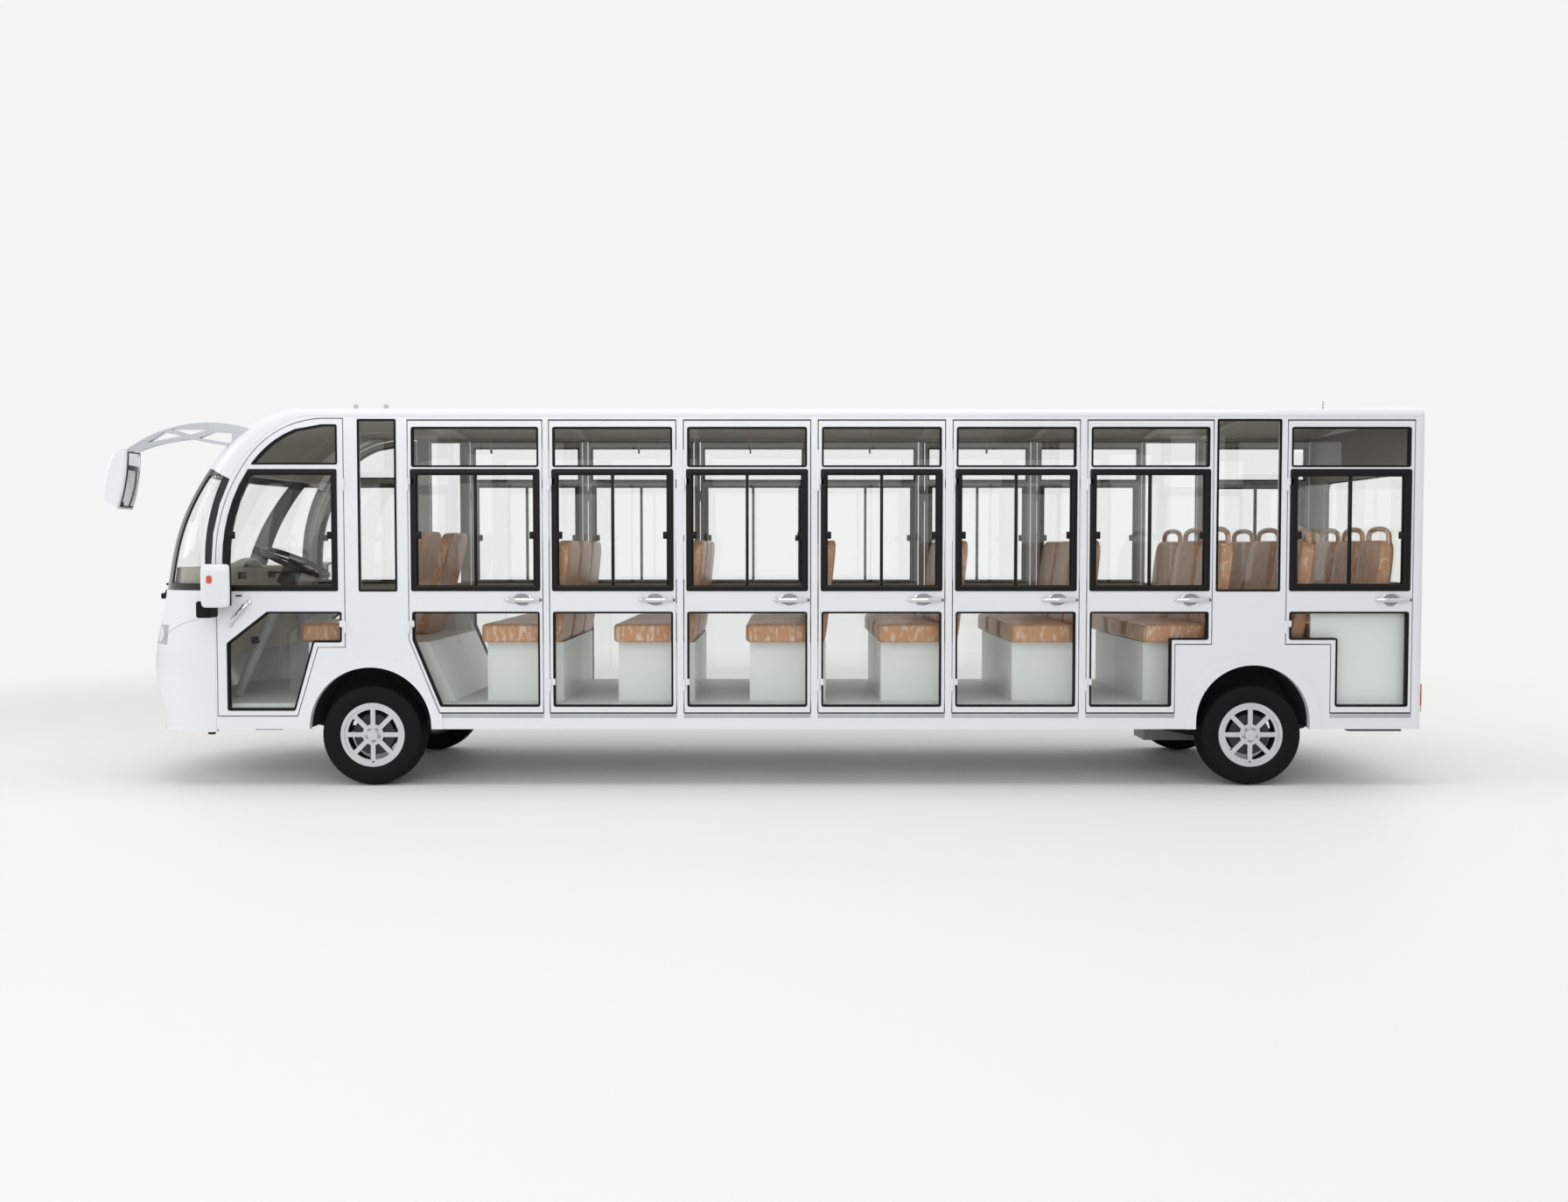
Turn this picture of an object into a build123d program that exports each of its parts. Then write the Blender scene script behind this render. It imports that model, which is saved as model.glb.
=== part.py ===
# Enclosed electric sightseeing bus: a welded chassis on two leaf-sprung axles carries a moulded white body with
# eight hinged glazed doors a side, seven bench rows behind the driver, a wrap-round windscreen and roof-hung mirrors.
# Lengths are millimetres. X runs to the rear, Y to the driver's right, Z up. The front axle is at X zero while the
# pieces are made, and each piece is moved to the middle of the whole length as it is written.
import math
import os

from build123d import *

# wheels and axles
wheelbase = 4855
wheel_centre_y = 652
tyre_radius = 280.5
tyre_width = 165
tread_round = 16
bead_radius = 166
rim_half_width = 63.5
rim_lip = 11
rim_wall = 8
spoke_count = 8
spoke_depth = 18
spoke_window_in = 58
spoke_window_out = 140
spoke_width = 26
hub_radius = 44
hub_cap_height = 10
lug_circle = 30
lug_hole_radius = 5
lug_count = 5
drum_radius = 112
drum_depth = 42
spindle_radius = 18
spindle_end_gap = 14
kingpin_y = 612
kingpin_radius = 12
kingpin_boss_radius = 26
kingpin_boss_height = 84
yoke_thick = 20
yoke_half = 30
backplate_thick = 5
fit_gap = 0.3
beam_height = 50
beam_depth = 70
beam_riser_in = 74
link_height = 46
axle_tube_radius = 36
diff_radius = 95
diff_half_width = 80

# chassis, springs, drive and battery
rail_y = 355
rail_width = 50
rail_height = 100
rail_front_x = -1080
rail_rear_x = 5640
cross_member_depth = 60
lashing_block = 60
lashing_radius = 16
lashing_depth = 50
spring_half_length = 430
spring_width = 60
spring_thick = 28
spring_rise = 60
spring_hanger = 50
motor_length = 330
motor_size = 230
battery_length = 300
battery_width = 1100
battery_height = 250

# body shell
half_width = 750
wall = 35
skirt_z = 316
nose_bottom_z = 300
shell_split_z = 1080
roof_seam_z = 2032
roof_top_z = 2123
shoulder_z = 2032
shoulder_radius = 46
shoulder_over = 2
front_bow_radius = 2000
rear_x = 5788
rear_corner_radius = 34
front_back_x = 10
panel_gap = 1
cut_over = 40
# height, distance of the flat side's front end behind the front axle, corner radius in plan
front_sections = [
    (nose_bottom_z, -876, 400),
    (560, -876, 466),
    (816, -876, 445),
    (shell_split_z, -876, 365),
    (1420, -864, 272),
    (1700, -774, 197),
    (1930, -594, 190),
    (2050, -356, 270),
    (2150, -20, 300),
]
nose_rear_x = -851
glass_thick = 8
glass_inset = 3
windscreen_top_z = 1760
windscreen_side_top_z = 1690
windscreen_top_run = 110

# doors: thin slabs flush with the side, hinged on pins just outside the skin
door_thick = 30
door_gap = 6
hinge_out = 8
hinge_radius = 8
hinge_height = 34
hinge_leaf = 30
hinge_leaf_thick = 4
hinge_high_z = 1660
hinge_low_z = 560
hinge_over_arch_z = 880
door_bottom_z = 409
door_top_z = 2008
front_door_bottom_z = 391
sash_low_z = 1079
sash_high_z = 1742
transom_low_z = 1762
transom_high_z = 1968
pane_low_z = 446
pane_high_z = 957
sash_inset = 14
sash_lap = 8
transom_inset = 24
pane_inset = 22
pillar_width = 20
# passenger doors between the axles: front edge, rear edge
passenger_doors = [(218, 949), (991, 1681), (1728, 2418), (2465, 3155), (3202, 3892), (3939, 4622)]
rear_door = (5034, 5722)
arch_step_z = 787
step_up = 28
rear_arch_front_x = 4421
rear_arch_rear_x = 5283
first_slant_top_z = 811
first_slant_run = 164
driver_front_x = -838
driver_rear_x = -139
driver_curve_x = -252
driver_curve_z = 1230
driver_curve_top_z = 2018
driver_curve_inset = 36
driver_heel_x = -289
driver_heel_z = 771
driver_toe_x = -405
narrow_front = (-53, 148)
narrow_rear = (4649, 4991)
narrow_low_z = 1080
narrow_high_z = 2012
narrow_lap = 6

# wheel arches in the sides and their liners
arch_front_radius = 335
arch_front_z = 322
arch_rear_radius = 313
arch_rear_z = 356
arch_lip_width = 62
arch_lip_proud = 7
liner_clear = 6
liner_low_z = 320
liner_thick = 8
liner_depth = 300

# inside
floor_top_z = 453
floor_thick = 22
floor_front_x = -1180
floor_side_gap = 0.3
seat_top_z = 783
seat_box_half = 570
seat_box_wall = 16
cushion_thick = 118
cushion_over = 25
cushion_gap = 0.5
cushion_round = 30
seat_span = 1350
back_top_z = 1357
loop_top_z = 1437
back_thick = 90
back_lean_x = 64
bench_depth = 428
bench_first_x = 606
bench_pitch = 738
bench_rows = 6
# close rows at the back: front of the box, depth of the box, seats
rear_rows = [(4835, 340, 3), (5275, 340, 4)]
board_thick = 12
board_y = 690
board_top_z = 1075
board_front_x = 5186
board_rear_x = 5735
driver_base_front_x = -400
driver_base_rear_x = 275
driver_base_foot_x = 425
driver_seat_front_x = -460
driver_seat_depth = 470
driver_seat_width = 490
driver_seat_y = 330
driver_back_top_z = 1437
driver_back_lean_x = 170
dash_rear_x = -775
dash_top_z = 1205
dash_brow_z = 1120
dash_knee_x = -905
dash_knee_z = 990
dash_bottom_z = 700
dash_half = 660
dash_round = 30
steer_x = -550
steer_y = -350
steer_z = 1230
steer_tilt_deg = 24
steer_radius = 190
steer_rim_radius = 15
steer_hub_radius = 42
steer_hub_depth = 36
steer_spoke_width = 30
steer_spoke_depth = 12
column_radius = 28
shroud_radius = 55
shroud_length = 120

# lamps and mirrors
headlamp_y = 520
headlamp_half = 130
headlamp_low_z = 775
headlamp_high_z = 885
headlamp_depth = 20
tail_lamp_y = 668
tail_lamp_width = 60
tail_lamp_low_z = 405
tail_lamp_high_z = 560
tail_lamp_proud = 24
wing_x = -795
wing_length = 172
wing_low_z = 946
wing_high_z = 1182
wing_width = 160
wing_round = 36
wing_out = 40
wing_foot_length = 60
wing_foot_height = 44
roof_mirror_front_x = -1441
roof_mirror_y = 690
head_width = 185
head_low_z = 1527
head_high_z = 1850
head_round = 16
arm_width = 36
# arm of the roof mirror in the side plane: its two edges and the windows of its lattice
arm_upper = [(-640, 1962), (-1010, 1992), (-1345, 1850)]
arm_lower = [(-1282, 1842), (-1150, 1884), (-984, 1910)]
arm_root = (-640, 1845)
arm_windows = [
    [(-1222, 1893), (-1135, 1950), (-1035, 1928)],
    [(-1090, 1966), (-880, 1966), (-985, 1936)],
    [(-940, 1918), (-862, 1950), (-760, 1945), (-760, 1888)],
]
head_front = [(-1372, 1850), (-1428, 1700), (-1441, 1585)]
head_rear = [(-1360, 1527), (-1345, 1575), (-1308, 1850)]
rear_window_half = 560
rear_window_low_z = 1110
rear_window_high_z = 1735
rear_window_round = 60

front_arch = (0, arch_front_z, arch_front_radius)
rear_arch = (wheelbase, arch_rear_z, arch_rear_radius)
rear_lamp_x = rear_x + tail_lamp_proud
middle_x = (roof_mirror_front_x + rear_lamp_x) / 2
os.makedirs("parts", exist_ok=True)


def save(name, shape):
    """Moves a piece to the middle of the whole length and writes it.

    Two mirrorings rewrite the curves at their new place, so that the corner
    faces of the front stay sound when the file is read again.
    """
    moved = other_side(other_side(Pos(-middle_x, 0, 0) * shape))
    export_step(moved, "parts/" + name + ".step")


def other_side(shape):
    """The same piece on the other side of the bus."""
    return mirror(shape, about=Plane.XZ)


def both_sides(shape):
    return Compound(solids_of(shape) + solids_of(other_side(shape)))


def solids_of(shape):
    return list(shape.solids())


def loose(shapes):
    """Solids that don't touch, kept as one piece."""
    return Compound([solid for shape in shapes for solid in solids_of(shape)])


def outline(points):
    """Flat face in the side plane from (x, z) corners."""
    return make_face(Polyline(*[(x, 0, z) for x, z in points], close=True))


def slab(face, y_low, y_high):
    """Side-plane face given its thickness across the bus."""
    return extrude(Pos(0, y_low, 0) * face, amount=y_high - y_low, dir=(0, 1, 0))


def block(x_low, x_high, y_low, y_high, z_low, z_high):
    size = Box(x_high - x_low, y_high - y_low, z_high - z_low)
    return Pos((x_low + x_high) / 2, (y_low + y_high) / 2, (z_low + z_high) / 2) * size


def along_y(radius, y_low, y_high, x=0, z=0):
    """Round bar across the bus."""
    return Pos(x, (y_low + y_high) / 2, z) * Rot(90, 0, 0) * Cylinder(radius, y_high - y_low)


def curved_quarter(grow):
    """Ellipse quarter over the driver's door, from its upright front edge to its level top, as centre and radii."""
    radius_x = driver_curve_x - driver_front_x + grow
    radius_z = driver_curve_top_z - driver_curve_z + grow
    return radius_x, radius_z


def ellipse_edge(grow):
    """That quarter as one edge."""
    radius_x, radius_z = curved_quarter(grow)
    steps = [math.radians(a) for a in (180, 157.5, 135, 112.5, 90)]
    points = [(driver_curve_x + radius_x * math.cos(a), 0, driver_curve_z + radius_z * math.sin(a)) for a in steps]
    first = ThreePointArc(points[0], points[1], points[2])
    second = ThreePointArc(points[2], points[3], points[4])
    return first, second


def ellipse_z(x, grow):
    """Height of the curved edge at a station."""
    radius_x, radius_z = curved_quarter(grow)
    return driver_curve_z + radius_z * math.sqrt(max(0, 1 - ((x - driver_curve_x) / radius_x) ** 2))


def driver_outline(grow):
    """Driver's door face, or its opening when grown."""
    radius_x, radius_z = curved_quarter(grow)
    front = driver_curve_x - radius_x
    top = driver_curve_z + radius_z
    slant = math.hypot(driver_heel_x - driver_toe_x, driver_heel_z - front_door_bottom_z)
    shift = grow * slant / (driver_heel_z - front_door_bottom_z)
    drop = (driver_heel_x - driver_toe_x) / (driver_heel_z - front_door_bottom_z) * grow
    rest = Polyline(
        (driver_curve_x, 0, top),
        (driver_rear_x + grow, 0, top),
        (driver_rear_x + grow, 0, driver_heel_z - grow),
        (driver_heel_x + shift - drop, 0, driver_heel_z - grow),
        (driver_toe_x + shift - drop, 0, front_door_bottom_z - grow),
        (front, 0, front_door_bottom_z - grow),
        (front, 0, driver_curve_z),
    )
    return make_face([*ellipse_edge(grow), *rest.edges()])


def passenger_outline(number, grow):
    """Passenger door face by its place in the row: the first is cut over the front arch, the last over the rear."""
    front, rear = passenger_doors[number]
    low, high = door_bottom_z - grow, door_top_z + grow
    if number == 0:
        slope = first_slant_run / (first_slant_top_z - door_bottom_z)
        side = grow * math.hypot(1, slope)
        points = [
            (front - grow, high),
            (front - grow, first_slant_top_z - (side - grow) / slope),
            (front + first_slant_run - side + slope * grow, low),
            (rear + grow, low),
            (rear + grow, high),
        ]
    elif number == len(passenger_doors) - 1:
        points = [
            (front - grow, low),
            (rear_arch_front_x + grow, low),
            (rear_arch_front_x + grow, arch_step_z - grow),
            (rear + grow, arch_step_z - grow),
            (rear + grow, high),
            (front - grow, high),
        ]
    else:
        points = [(front - grow, low), (rear + grow, low), (rear + grow, high), (front - grow, high)]
    return outline(points)


def rear_outline(grow):
    """Rearmost door face, stepped over the rear arch."""
    front, rear = rear_door
    low, high = door_bottom_z - grow, door_top_z + grow
    return outline(
        [
            (front - grow, arch_step_z - grow),
            (rear_arch_rear_x - grow, arch_step_z - grow),
            (rear_arch_rear_x - grow, low),
            (rear + grow, low),
            (rear + grow, high),
            (front - grow, high),
        ]
    )


def band(face, inset, low, high):
    """Window opening: the door face drawn in by its border, between two heights."""
    box = face.bounding_box()
    points = [(box.min.X + inset, low), (box.max.X - inset, low), (box.max.X - inset, high), (box.min.X + inset, high)]
    return outline(points)


def lower_pane(number):
    """Lower window of a passenger door, cut like the door round the wheel arches."""
    front, rear = passenger_doors[number]
    left, right = front + pane_inset, rear - pane_inset
    if number == 0:
        slope = first_slant_run / (first_slant_top_z - door_bottom_z)
        points = [
            (left, pane_high_z),
            (left, first_slant_top_z),
            (left + slope * (first_slant_top_z - pane_low_z), pane_low_z),
            (right, pane_low_z),
            (right, pane_high_z),
        ]
    elif number == len(passenger_doors) - 1:
        inner = rear_arch_front_x - pane_inset
        shelf = arch_step_z + step_up
        points = [(left, pane_low_z), (inner, pane_low_z), (inner, shelf), (right, shelf), (right, pane_high_z), (left, pane_high_z)]
    else:
        points = [(left, pane_low_z), (right, pane_low_z), (right, pane_high_z), (left, pane_high_z)]
    return outline(points)


def rear_pane():
    front, rear = rear_door
    left, right = front + pane_inset, rear - pane_inset
    inner = rear_arch_rear_x + pane_inset + sash_lap
    shelf = arch_step_z + step_up
    points = [(left, shelf), (inner, shelf), (inner, pane_low_z), (right, pane_low_z), (right, pane_high_z), (left, pane_high_z)]
    return outline(points)


def driver_pane():
    slope = (driver_heel_x - driver_toe_x) / (driver_heel_z - front_door_bottom_z)
    inner_heel = driver_heel_z + pane_inset + sash_lap
    heel_x = driver_heel_x - pane_inset
    toe_x = heel_x - slope * (inner_heel - pane_low_z)
    left, right = driver_front_x + pane_inset + wall, driver_rear_x - pane_inset
    return outline(
        [
            (left, pane_low_z - pane_inset),
            (toe_x, pane_low_z - pane_inset),
            (heel_x, inner_heel),
            (right, inner_heel),
            (right, pane_high_z),
            (left + (pane_high_z - inner_heel) * 1.4, pane_high_z),
            (left, inner_heel - sash_inset),
        ]
    )


def windowed(face, openings):
    """Door slab with its windows cut."""
    door = slab(face, -half_width, -half_width + door_thick)
    for opening in openings:
        door -= slab(opening, -half_width - cut_over, -half_width + door_thick + cut_over)
    return door


doors = []
inner_curve = driver_outline(-driver_curve_inset)
upper_zone = outline(
    [
        (driver_front_x, transom_low_z + step_up / 2),
        (driver_rear_x - driver_curve_inset, transom_low_z + step_up / 2),
        (driver_rear_x - driver_curve_inset, driver_curve_top_z),
        (driver_front_x, driver_curve_top_z),
    ]
)
sash_zone = outline(
    [
        (driver_front_x, sash_low_z),
        (driver_rear_x - driver_curve_inset, sash_low_z),
        (driver_rear_x - driver_curve_inset, sash_high_z),
        (driver_front_x, sash_high_z),
    ]
)
driver_openings = [inner_curve & upper_zone, inner_curve & sash_zone, driver_pane()]
doors.append(windowed(driver_outline(0), driver_openings))
for number in range(len(passenger_doors)):
    face = passenger_outline(number, 0)
    sash = band(face, sash_inset + sash_lap, sash_low_z + sash_lap, sash_high_z - sash_lap)
    transom = band(face, transom_inset, transom_low_z, transom_high_z)
    doors.append(windowed(face, [sash, transom, lower_pane(number)]))
face = rear_outline(0)
sash = band(face, sash_inset + sash_lap, sash_low_z + sash_lap, sash_high_z - sash_lap)
transom = band(face, transom_inset, transom_low_z, transom_high_z)
doors.append(windowed(face, [sash, transom, rear_pane()]))

# lift-off hinges on the skin: the upper barrel is the door's, the lower one the side's
hinge_lines = [(driver_rear_x + door_gap / 2, -1, hinge_over_arch_z)]
for number, (front, rear) in enumerate(passenger_doors):
    hinge_lines.append((front - door_gap / 2, 1, hinge_over_arch_z if number == 0 else hinge_low_z))
hinge_lines.append((rear_door[0] - door_gap / 2, 1, hinge_over_arch_z))


def hinge_half(line_x, reach, low_z):
    """One barrel with its leaf lying on the skin, reaching to one side of the pin line."""
    axis_y = -half_width - hinge_out
    barrel = Pos(line_x, axis_y, low_z + hinge_height / 2) * Cylinder(hinge_radius, hinge_height)
    far_x = line_x + reach * hinge_leaf
    leaf = block(
        min(line_x, far_x),
        max(line_x, far_x),
        -half_width - hinge_leaf_thick,
        -half_width,
        low_z,
        low_z + hinge_height,
    )
    return barrel + leaf


side_hinges = []
for number, (line_x, reach, low_z) in enumerate(hinge_lines):
    for pin_z in (low_z, hinge_high_z):
        doors[number] += hinge_half(line_x, reach, pin_z + fit_gap / 2)
        side_hinges.append(hinge_half(line_x, -reach, pin_z - hinge_height - fit_gap / 2))
for number, door in enumerate(doors, start=1):
    save(f"door_left_{number}", door)
    save(f"door_right_{number}", other_side(door))


def plan_face(height, side_x, corner, inset, over):
    """Level section of the body's front: flat sides and a bowed front with round corners."""
    w = half_width - inset
    bow = front_bow_radius - inset
    r = corner - inset
    turn = math.asin((w - r) / (bow - r))
    join_y = bow * math.sin(turn)
    join_x = side_x - r * math.cos(turn)
    front_x = join_x - bow * (1 - math.cos(turn))
    half_turn = (math.pi / 2 + turn) / 2
    mid_x = side_x - r * math.cos(half_turn)
    mid_y = w - r + r * math.sin(half_turn)
    back_x = front_back_x + over
    edges = [
        Line((back_x, -w, height), (side_x, -w, height)),
        ThreePointArc((side_x, -w, height), (mid_x, -mid_y, height), (join_x, -join_y, height)),
        ThreePointArc((join_x, -join_y, height), (front_x, 0, height), (join_x, join_y, height)),
        ThreePointArc((join_x, join_y, height), (mid_x, mid_y, height), (side_x, w, height)),
        Line((side_x, w, height), (back_x, w, height)),
        Line((back_x, w, height), (back_x, -w, height)),
    ]
    return make_face(edges)


def front_form(inset, over=0):
    """Closed form of the body's front, drawn in from the skin; its open ends run over for cutting."""
    sections = []
    for number, (height, side_x, corner) in enumerate(front_sections):
        drop = over if number == 0 else 0
        sections.append(plan_face(height - drop, side_x, corner, inset, over))
    return loft(sections)


def roof_arcs(x, inset):
    """Shoulder, crown and shoulder arcs across the body, as edges, and their two ends."""
    top, base, r = roof_top_z - inset, shoulder_z - inset, shoulder_radius
    centre_y = half_width - inset - shoulder_radius + shoulder_over
    bend = r * math.sqrt(0.5)
    left = [(-centre_y - r, base), (-centre_y - bend, base + bend), (-centre_y, base + r)]
    crown = [(-centre_y, base + r), (0, top), (centre_y, base + r)]
    right = [(centre_y, base + r), (centre_y + bend, base + bend), (centre_y + r, base)]
    return [ThreePointArc(*[(x, y, z) for y, z in arc]) for arc in (left, crown, right)], left[0], right[2]


def above_roof(inset, x_low, x_high):
    """All that lies over the crowned roof and its round shoulders."""
    arcs, left, right = roof_arcs(x_low, inset)
    out, high = half_width + 3 * cut_over, roof_top_z + 3 * cut_over
    corners = [right, (out, right[1]), (out, high), (-out, high), (-out, left[1]), left]
    frame = Polyline(*[(x_low, y, z) for y, z in corners])
    return extrude(make_face([*arcs, *frame.edges()]), amount=x_high - x_low, dir=(1, 0, 0))


far = half_width + cut_over
front_far_x = roof_mirror_front_x - cut_over
outer_form = front_form(0)
inner_form = front_form(wall, cut_over)
front_shell = outer_form - inner_form
glass = front_form(glass_inset) - front_form(glass_inset + glass_thick, cut_over)

# side-plane zones that part the shell into its panels
pillar_grow = door_gap + pillar_width
pillar_x = driver_curve_x - curved_quarter(pillar_grow)[0]
seam_radius_x, seam_radius_z = curved_quarter(pillar_grow)


def seam_point(height):
    """Point of the pillar's front edge at a height."""
    share = (height - driver_curve_z) / seam_radius_z
    return driver_curve_x - seam_radius_x * math.sqrt(max(0, 1 - share**2)), height


rise = roof_seam_z - windscreen_side_top_z
seam_heights = [windscreen_side_top_z + rise * share for share in (0, 0.2, 0.4, 0.6, 0.78, 0.92, 1)]
seam_curve = [seam_point(z) for z in seam_heights]
glass_heights = [driver_curve_z + (windscreen_side_top_z - driver_curve_z) * share for share in (0, 0.35, 0.7, 1)]
glass_curve = [seam_point(z) for z in glass_heights]
side_top_x = seam_curve[0][0]
windscreen_zone = outline(
    [(front_far_x, shell_split_z + panel_gap), (pillar_x, shell_split_z + panel_gap)]
    + glass_curve
    + [(side_top_x - windscreen_top_run, windscreen_top_z - step_up / 2), (front_far_x, windscreen_top_z + step_up)]
)
roof_zone = outline(
    [(front_far_x, windscreen_top_z + step_up + panel_gap)]
    + [(side_top_x - windscreen_top_run, windscreen_top_z - step_up / 2 + panel_gap)]
    + [(x, z + panel_gap) for x, z in seam_curve]
    + [(front_back_x, roof_seam_z + panel_gap), (front_back_x, roof_top_z + cut_over)]
    + [(front_far_x, roof_top_z + cut_over)]
)
side_zone = outline(
    [(pillar_x, shell_split_z)]
    + glass_curve[:-1]
    + seam_curve
    + [(rear_x - wall, roof_seam_z), (rear_x - wall, skirt_z), (nose_rear_x + panel_gap, skirt_z)]
    + [(nose_rear_x + panel_gap, shell_split_z)]
)
nose = front_shell & block(front_far_x, nose_rear_x, -far, far, nose_bottom_z - cut_over, shell_split_z)
windscreen = glass & slab(windscreen_zone, -far, far)
side = slab(side_zone, -half_width, -half_width + wall)

# roof: the domed front, then a level shell back to the rear
roof_dome = (outer_form & slab(roof_zone, -far, far)) - above_roof(0, front_far_x, front_back_x + cut_over)
roof_dome -= inner_form - above_roof(wall, front_far_x, front_back_x + 2 * cut_over)
roof = block(front_back_x, rear_x, -half_width, half_width, roof_seam_z + panel_gap, roof_top_z)
roof -= above_roof(0, front_back_x - cut_over, rear_x + cut_over)
under_roof = block(front_back_x - cut_over, rear_x - wall, -half_width + wall, half_width - wall, skirt_z, roof_top_z - wall)
under_roof -= above_roof(wall, front_back_x - 2 * cut_over, rear_x)
roof -= under_roof
rear_panel = block(rear_x - wall + fit_gap, rear_x, -half_width, half_width, skirt_z, roof_seam_z)
rc = rear_corner_radius
for sign in (-1, 1):
    corner_y = sign * (half_width - rc)
    low_y, high_y = sorted((corner_y, sign * far))
    corner = block(rear_x - rc, rear_x + cut_over, low_y, high_y, skirt_z - cut_over, roof_top_z + cut_over)
    height = roof_top_z - skirt_z + 4 * cut_over
    corner -= Pos(rear_x - rc, corner_y, (roof_top_z + skirt_z) / 2) * Cylinder(rc, height)
    roof -= corner
    rear_panel -= corner
roof += roof_dome

# rear window opening with round corners
opening = RectangleRounded(2 * rear_window_half, rear_window_high_z - rear_window_low_z, rear_window_round)
opening_plane = Plane(origin=(rear_x - wall, 0, (rear_window_low_z + rear_window_high_z) / 2), x_dir=(0, 1, 0), z_dir=(1, 0, 0))
rear_panel -= extrude(opening_plane * opening, amount=wall + cut_over, both=True)
pane = RectangleRounded(
    2 * (rear_window_half - fit_gap),
    rear_window_high_z - rear_window_low_z - 2 * fit_gap,
    rear_window_round - fit_gap,
)
pane_plane = opening_plane.offset((wall - glass_thick) / 2)
rear_window = extrude(pane_plane * pane, amount=glass_thick)

# door openings, arches and fixed windows in the side
openings = [driver_outline(door_gap), rear_outline(door_gap)]
openings += [passenger_outline(number, door_gap) for number in range(len(passenger_doors))]
for opening_face in openings:
    side -= slab(opening_face, -half_width - cut_over, -half_width + wall + cut_over)
for axle_x, arch_z, radius in (front_arch, rear_arch):
    ring = along_y(radius + arch_lip_width, -half_width - arch_lip_proud, -half_width + wall / 2, axle_x, arch_z)
    ring &= block(axle_x - far, axle_x + far, -far, far, skirt_z, far)
    for opening_face in openings:
        ring -= slab(opening_face, -half_width - cut_over, -half_width + wall + cut_over)
    side += ring
for axle_x, arch_z, radius in (front_arch, rear_arch):
    side -= along_y(radius, -far, -half_width + wall + cut_over, axle_x, arch_z)
    side -= block(axle_x - radius, axle_x + radius, -far, -half_width + wall + cut_over, skirt_z - cut_over, arch_z)
fixed_panes = []
for low_x, high_x in (narrow_front, narrow_rear):
    side -= block(low_x, high_x, -far, -half_width + wall + cut_over, narrow_low_z, narrow_high_z)
    fixed_panes.append(
        block(
            low_x + fit_gap,
            high_x - fit_gap,
            -half_width + narrow_lap,
            -half_width + narrow_lap + glass_thick,
            narrow_low_z + fit_gap,
            narrow_high_z - fit_gap,
        )
    )
side_frame = side
for hinge in side_hinges:
    side_frame += hinge

# lamps share the curve of the nose
lamp_skin = outer_form - front_form(headlamp_depth, cut_over)
lamp_seat = outer_form - front_form(headlamp_depth + fit_gap, cut_over)
lamp_box = block(front_far_x, nose_rear_x - cut_over, headlamp_y - headlamp_half, headlamp_y + headlamp_half, headlamp_low_z, headlamp_high_z)
lamp_hole = block(
    front_far_x,
    nose_rear_x - cut_over,
    headlamp_y - headlamp_half - fit_gap,
    headlamp_y + headlamp_half + fit_gap,
    headlamp_low_z - fit_gap,
    headlamp_high_z + fit_gap,
)
headlamp = lamp_skin & lamp_box
for hole in (lamp_hole, other_side(lamp_hole)):
    nose -= lamp_seat & hole
tail_lamp = block(
    rear_x + fit_gap,
    rear_lamp_x,
    tail_lamp_y - tail_lamp_width / 2,
    tail_lamp_y + tail_lamp_width / 2,
    tail_lamp_low_z,
    tail_lamp_high_z,
)
tail_lamp = fillet(tail_lamp.faces().sort_by(Axis.X)[-1].edges(), tail_lamp_proud / 3)

save("nose", nose)
save("windscreen", windscreen)
save("roof", roof)
save("rear_panel", rear_panel)
save("rear_window", rear_window)
save("side_frame_left", side_frame)
save("side_frame_right", other_side(side_frame))
save("fixed_side_glass", both_sides(loose(fixed_panes)))
save("headlamps", both_sides(headlamp))
save("tail_lamps", both_sides(tail_lamp))


# wheel liners: a half drum with an inner wall, open to the road and to the side
def liner(axle_x, arch_z, radius, wrap):
    r = radius + liner_clear + wrap
    y_out = -half_width + wall + fit_gap
    y_in = y_out + liner_depth + wrap
    drum = along_y(r, y_out, y_in, axle_x, arch_z)
    drum += block(axle_x - r, axle_x + r, y_out, y_in, liner_low_z, arch_z)
    return drum & block(axle_x - r, axle_x + r, y_out, y_in, liner_low_z, arch_z + r)


liners = []
liner_forms = []
for arch in (front_arch, rear_arch):
    outside = liner(*arch, liner_thick)
    liners.append(outside - liner(*arch, 0))
    grown = liner(*arch, liner_thick + fit_gap)
    liner_forms += [grown, other_side(grown)]
save("wheelhouses", both_sides(loose(liners)))


def clear_of_liners(shape):
    for form in liner_forms:
        shape -= form
    return shape


floor_half = half_width - wall - floor_side_gap
inside_form = front_form(wall + floor_side_gap, cut_over)
floor = block(floor_front_x, front_back_x, -floor_half, floor_half, floor_top_z - floor_thick, floor_top_z) & inside_form
floor += block(front_back_x, rear_x - wall - floor_side_gap, -floor_half, floor_half, floor_top_z - floor_thick, floor_top_z)
save("floor", clear_of_liners(floor))

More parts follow.
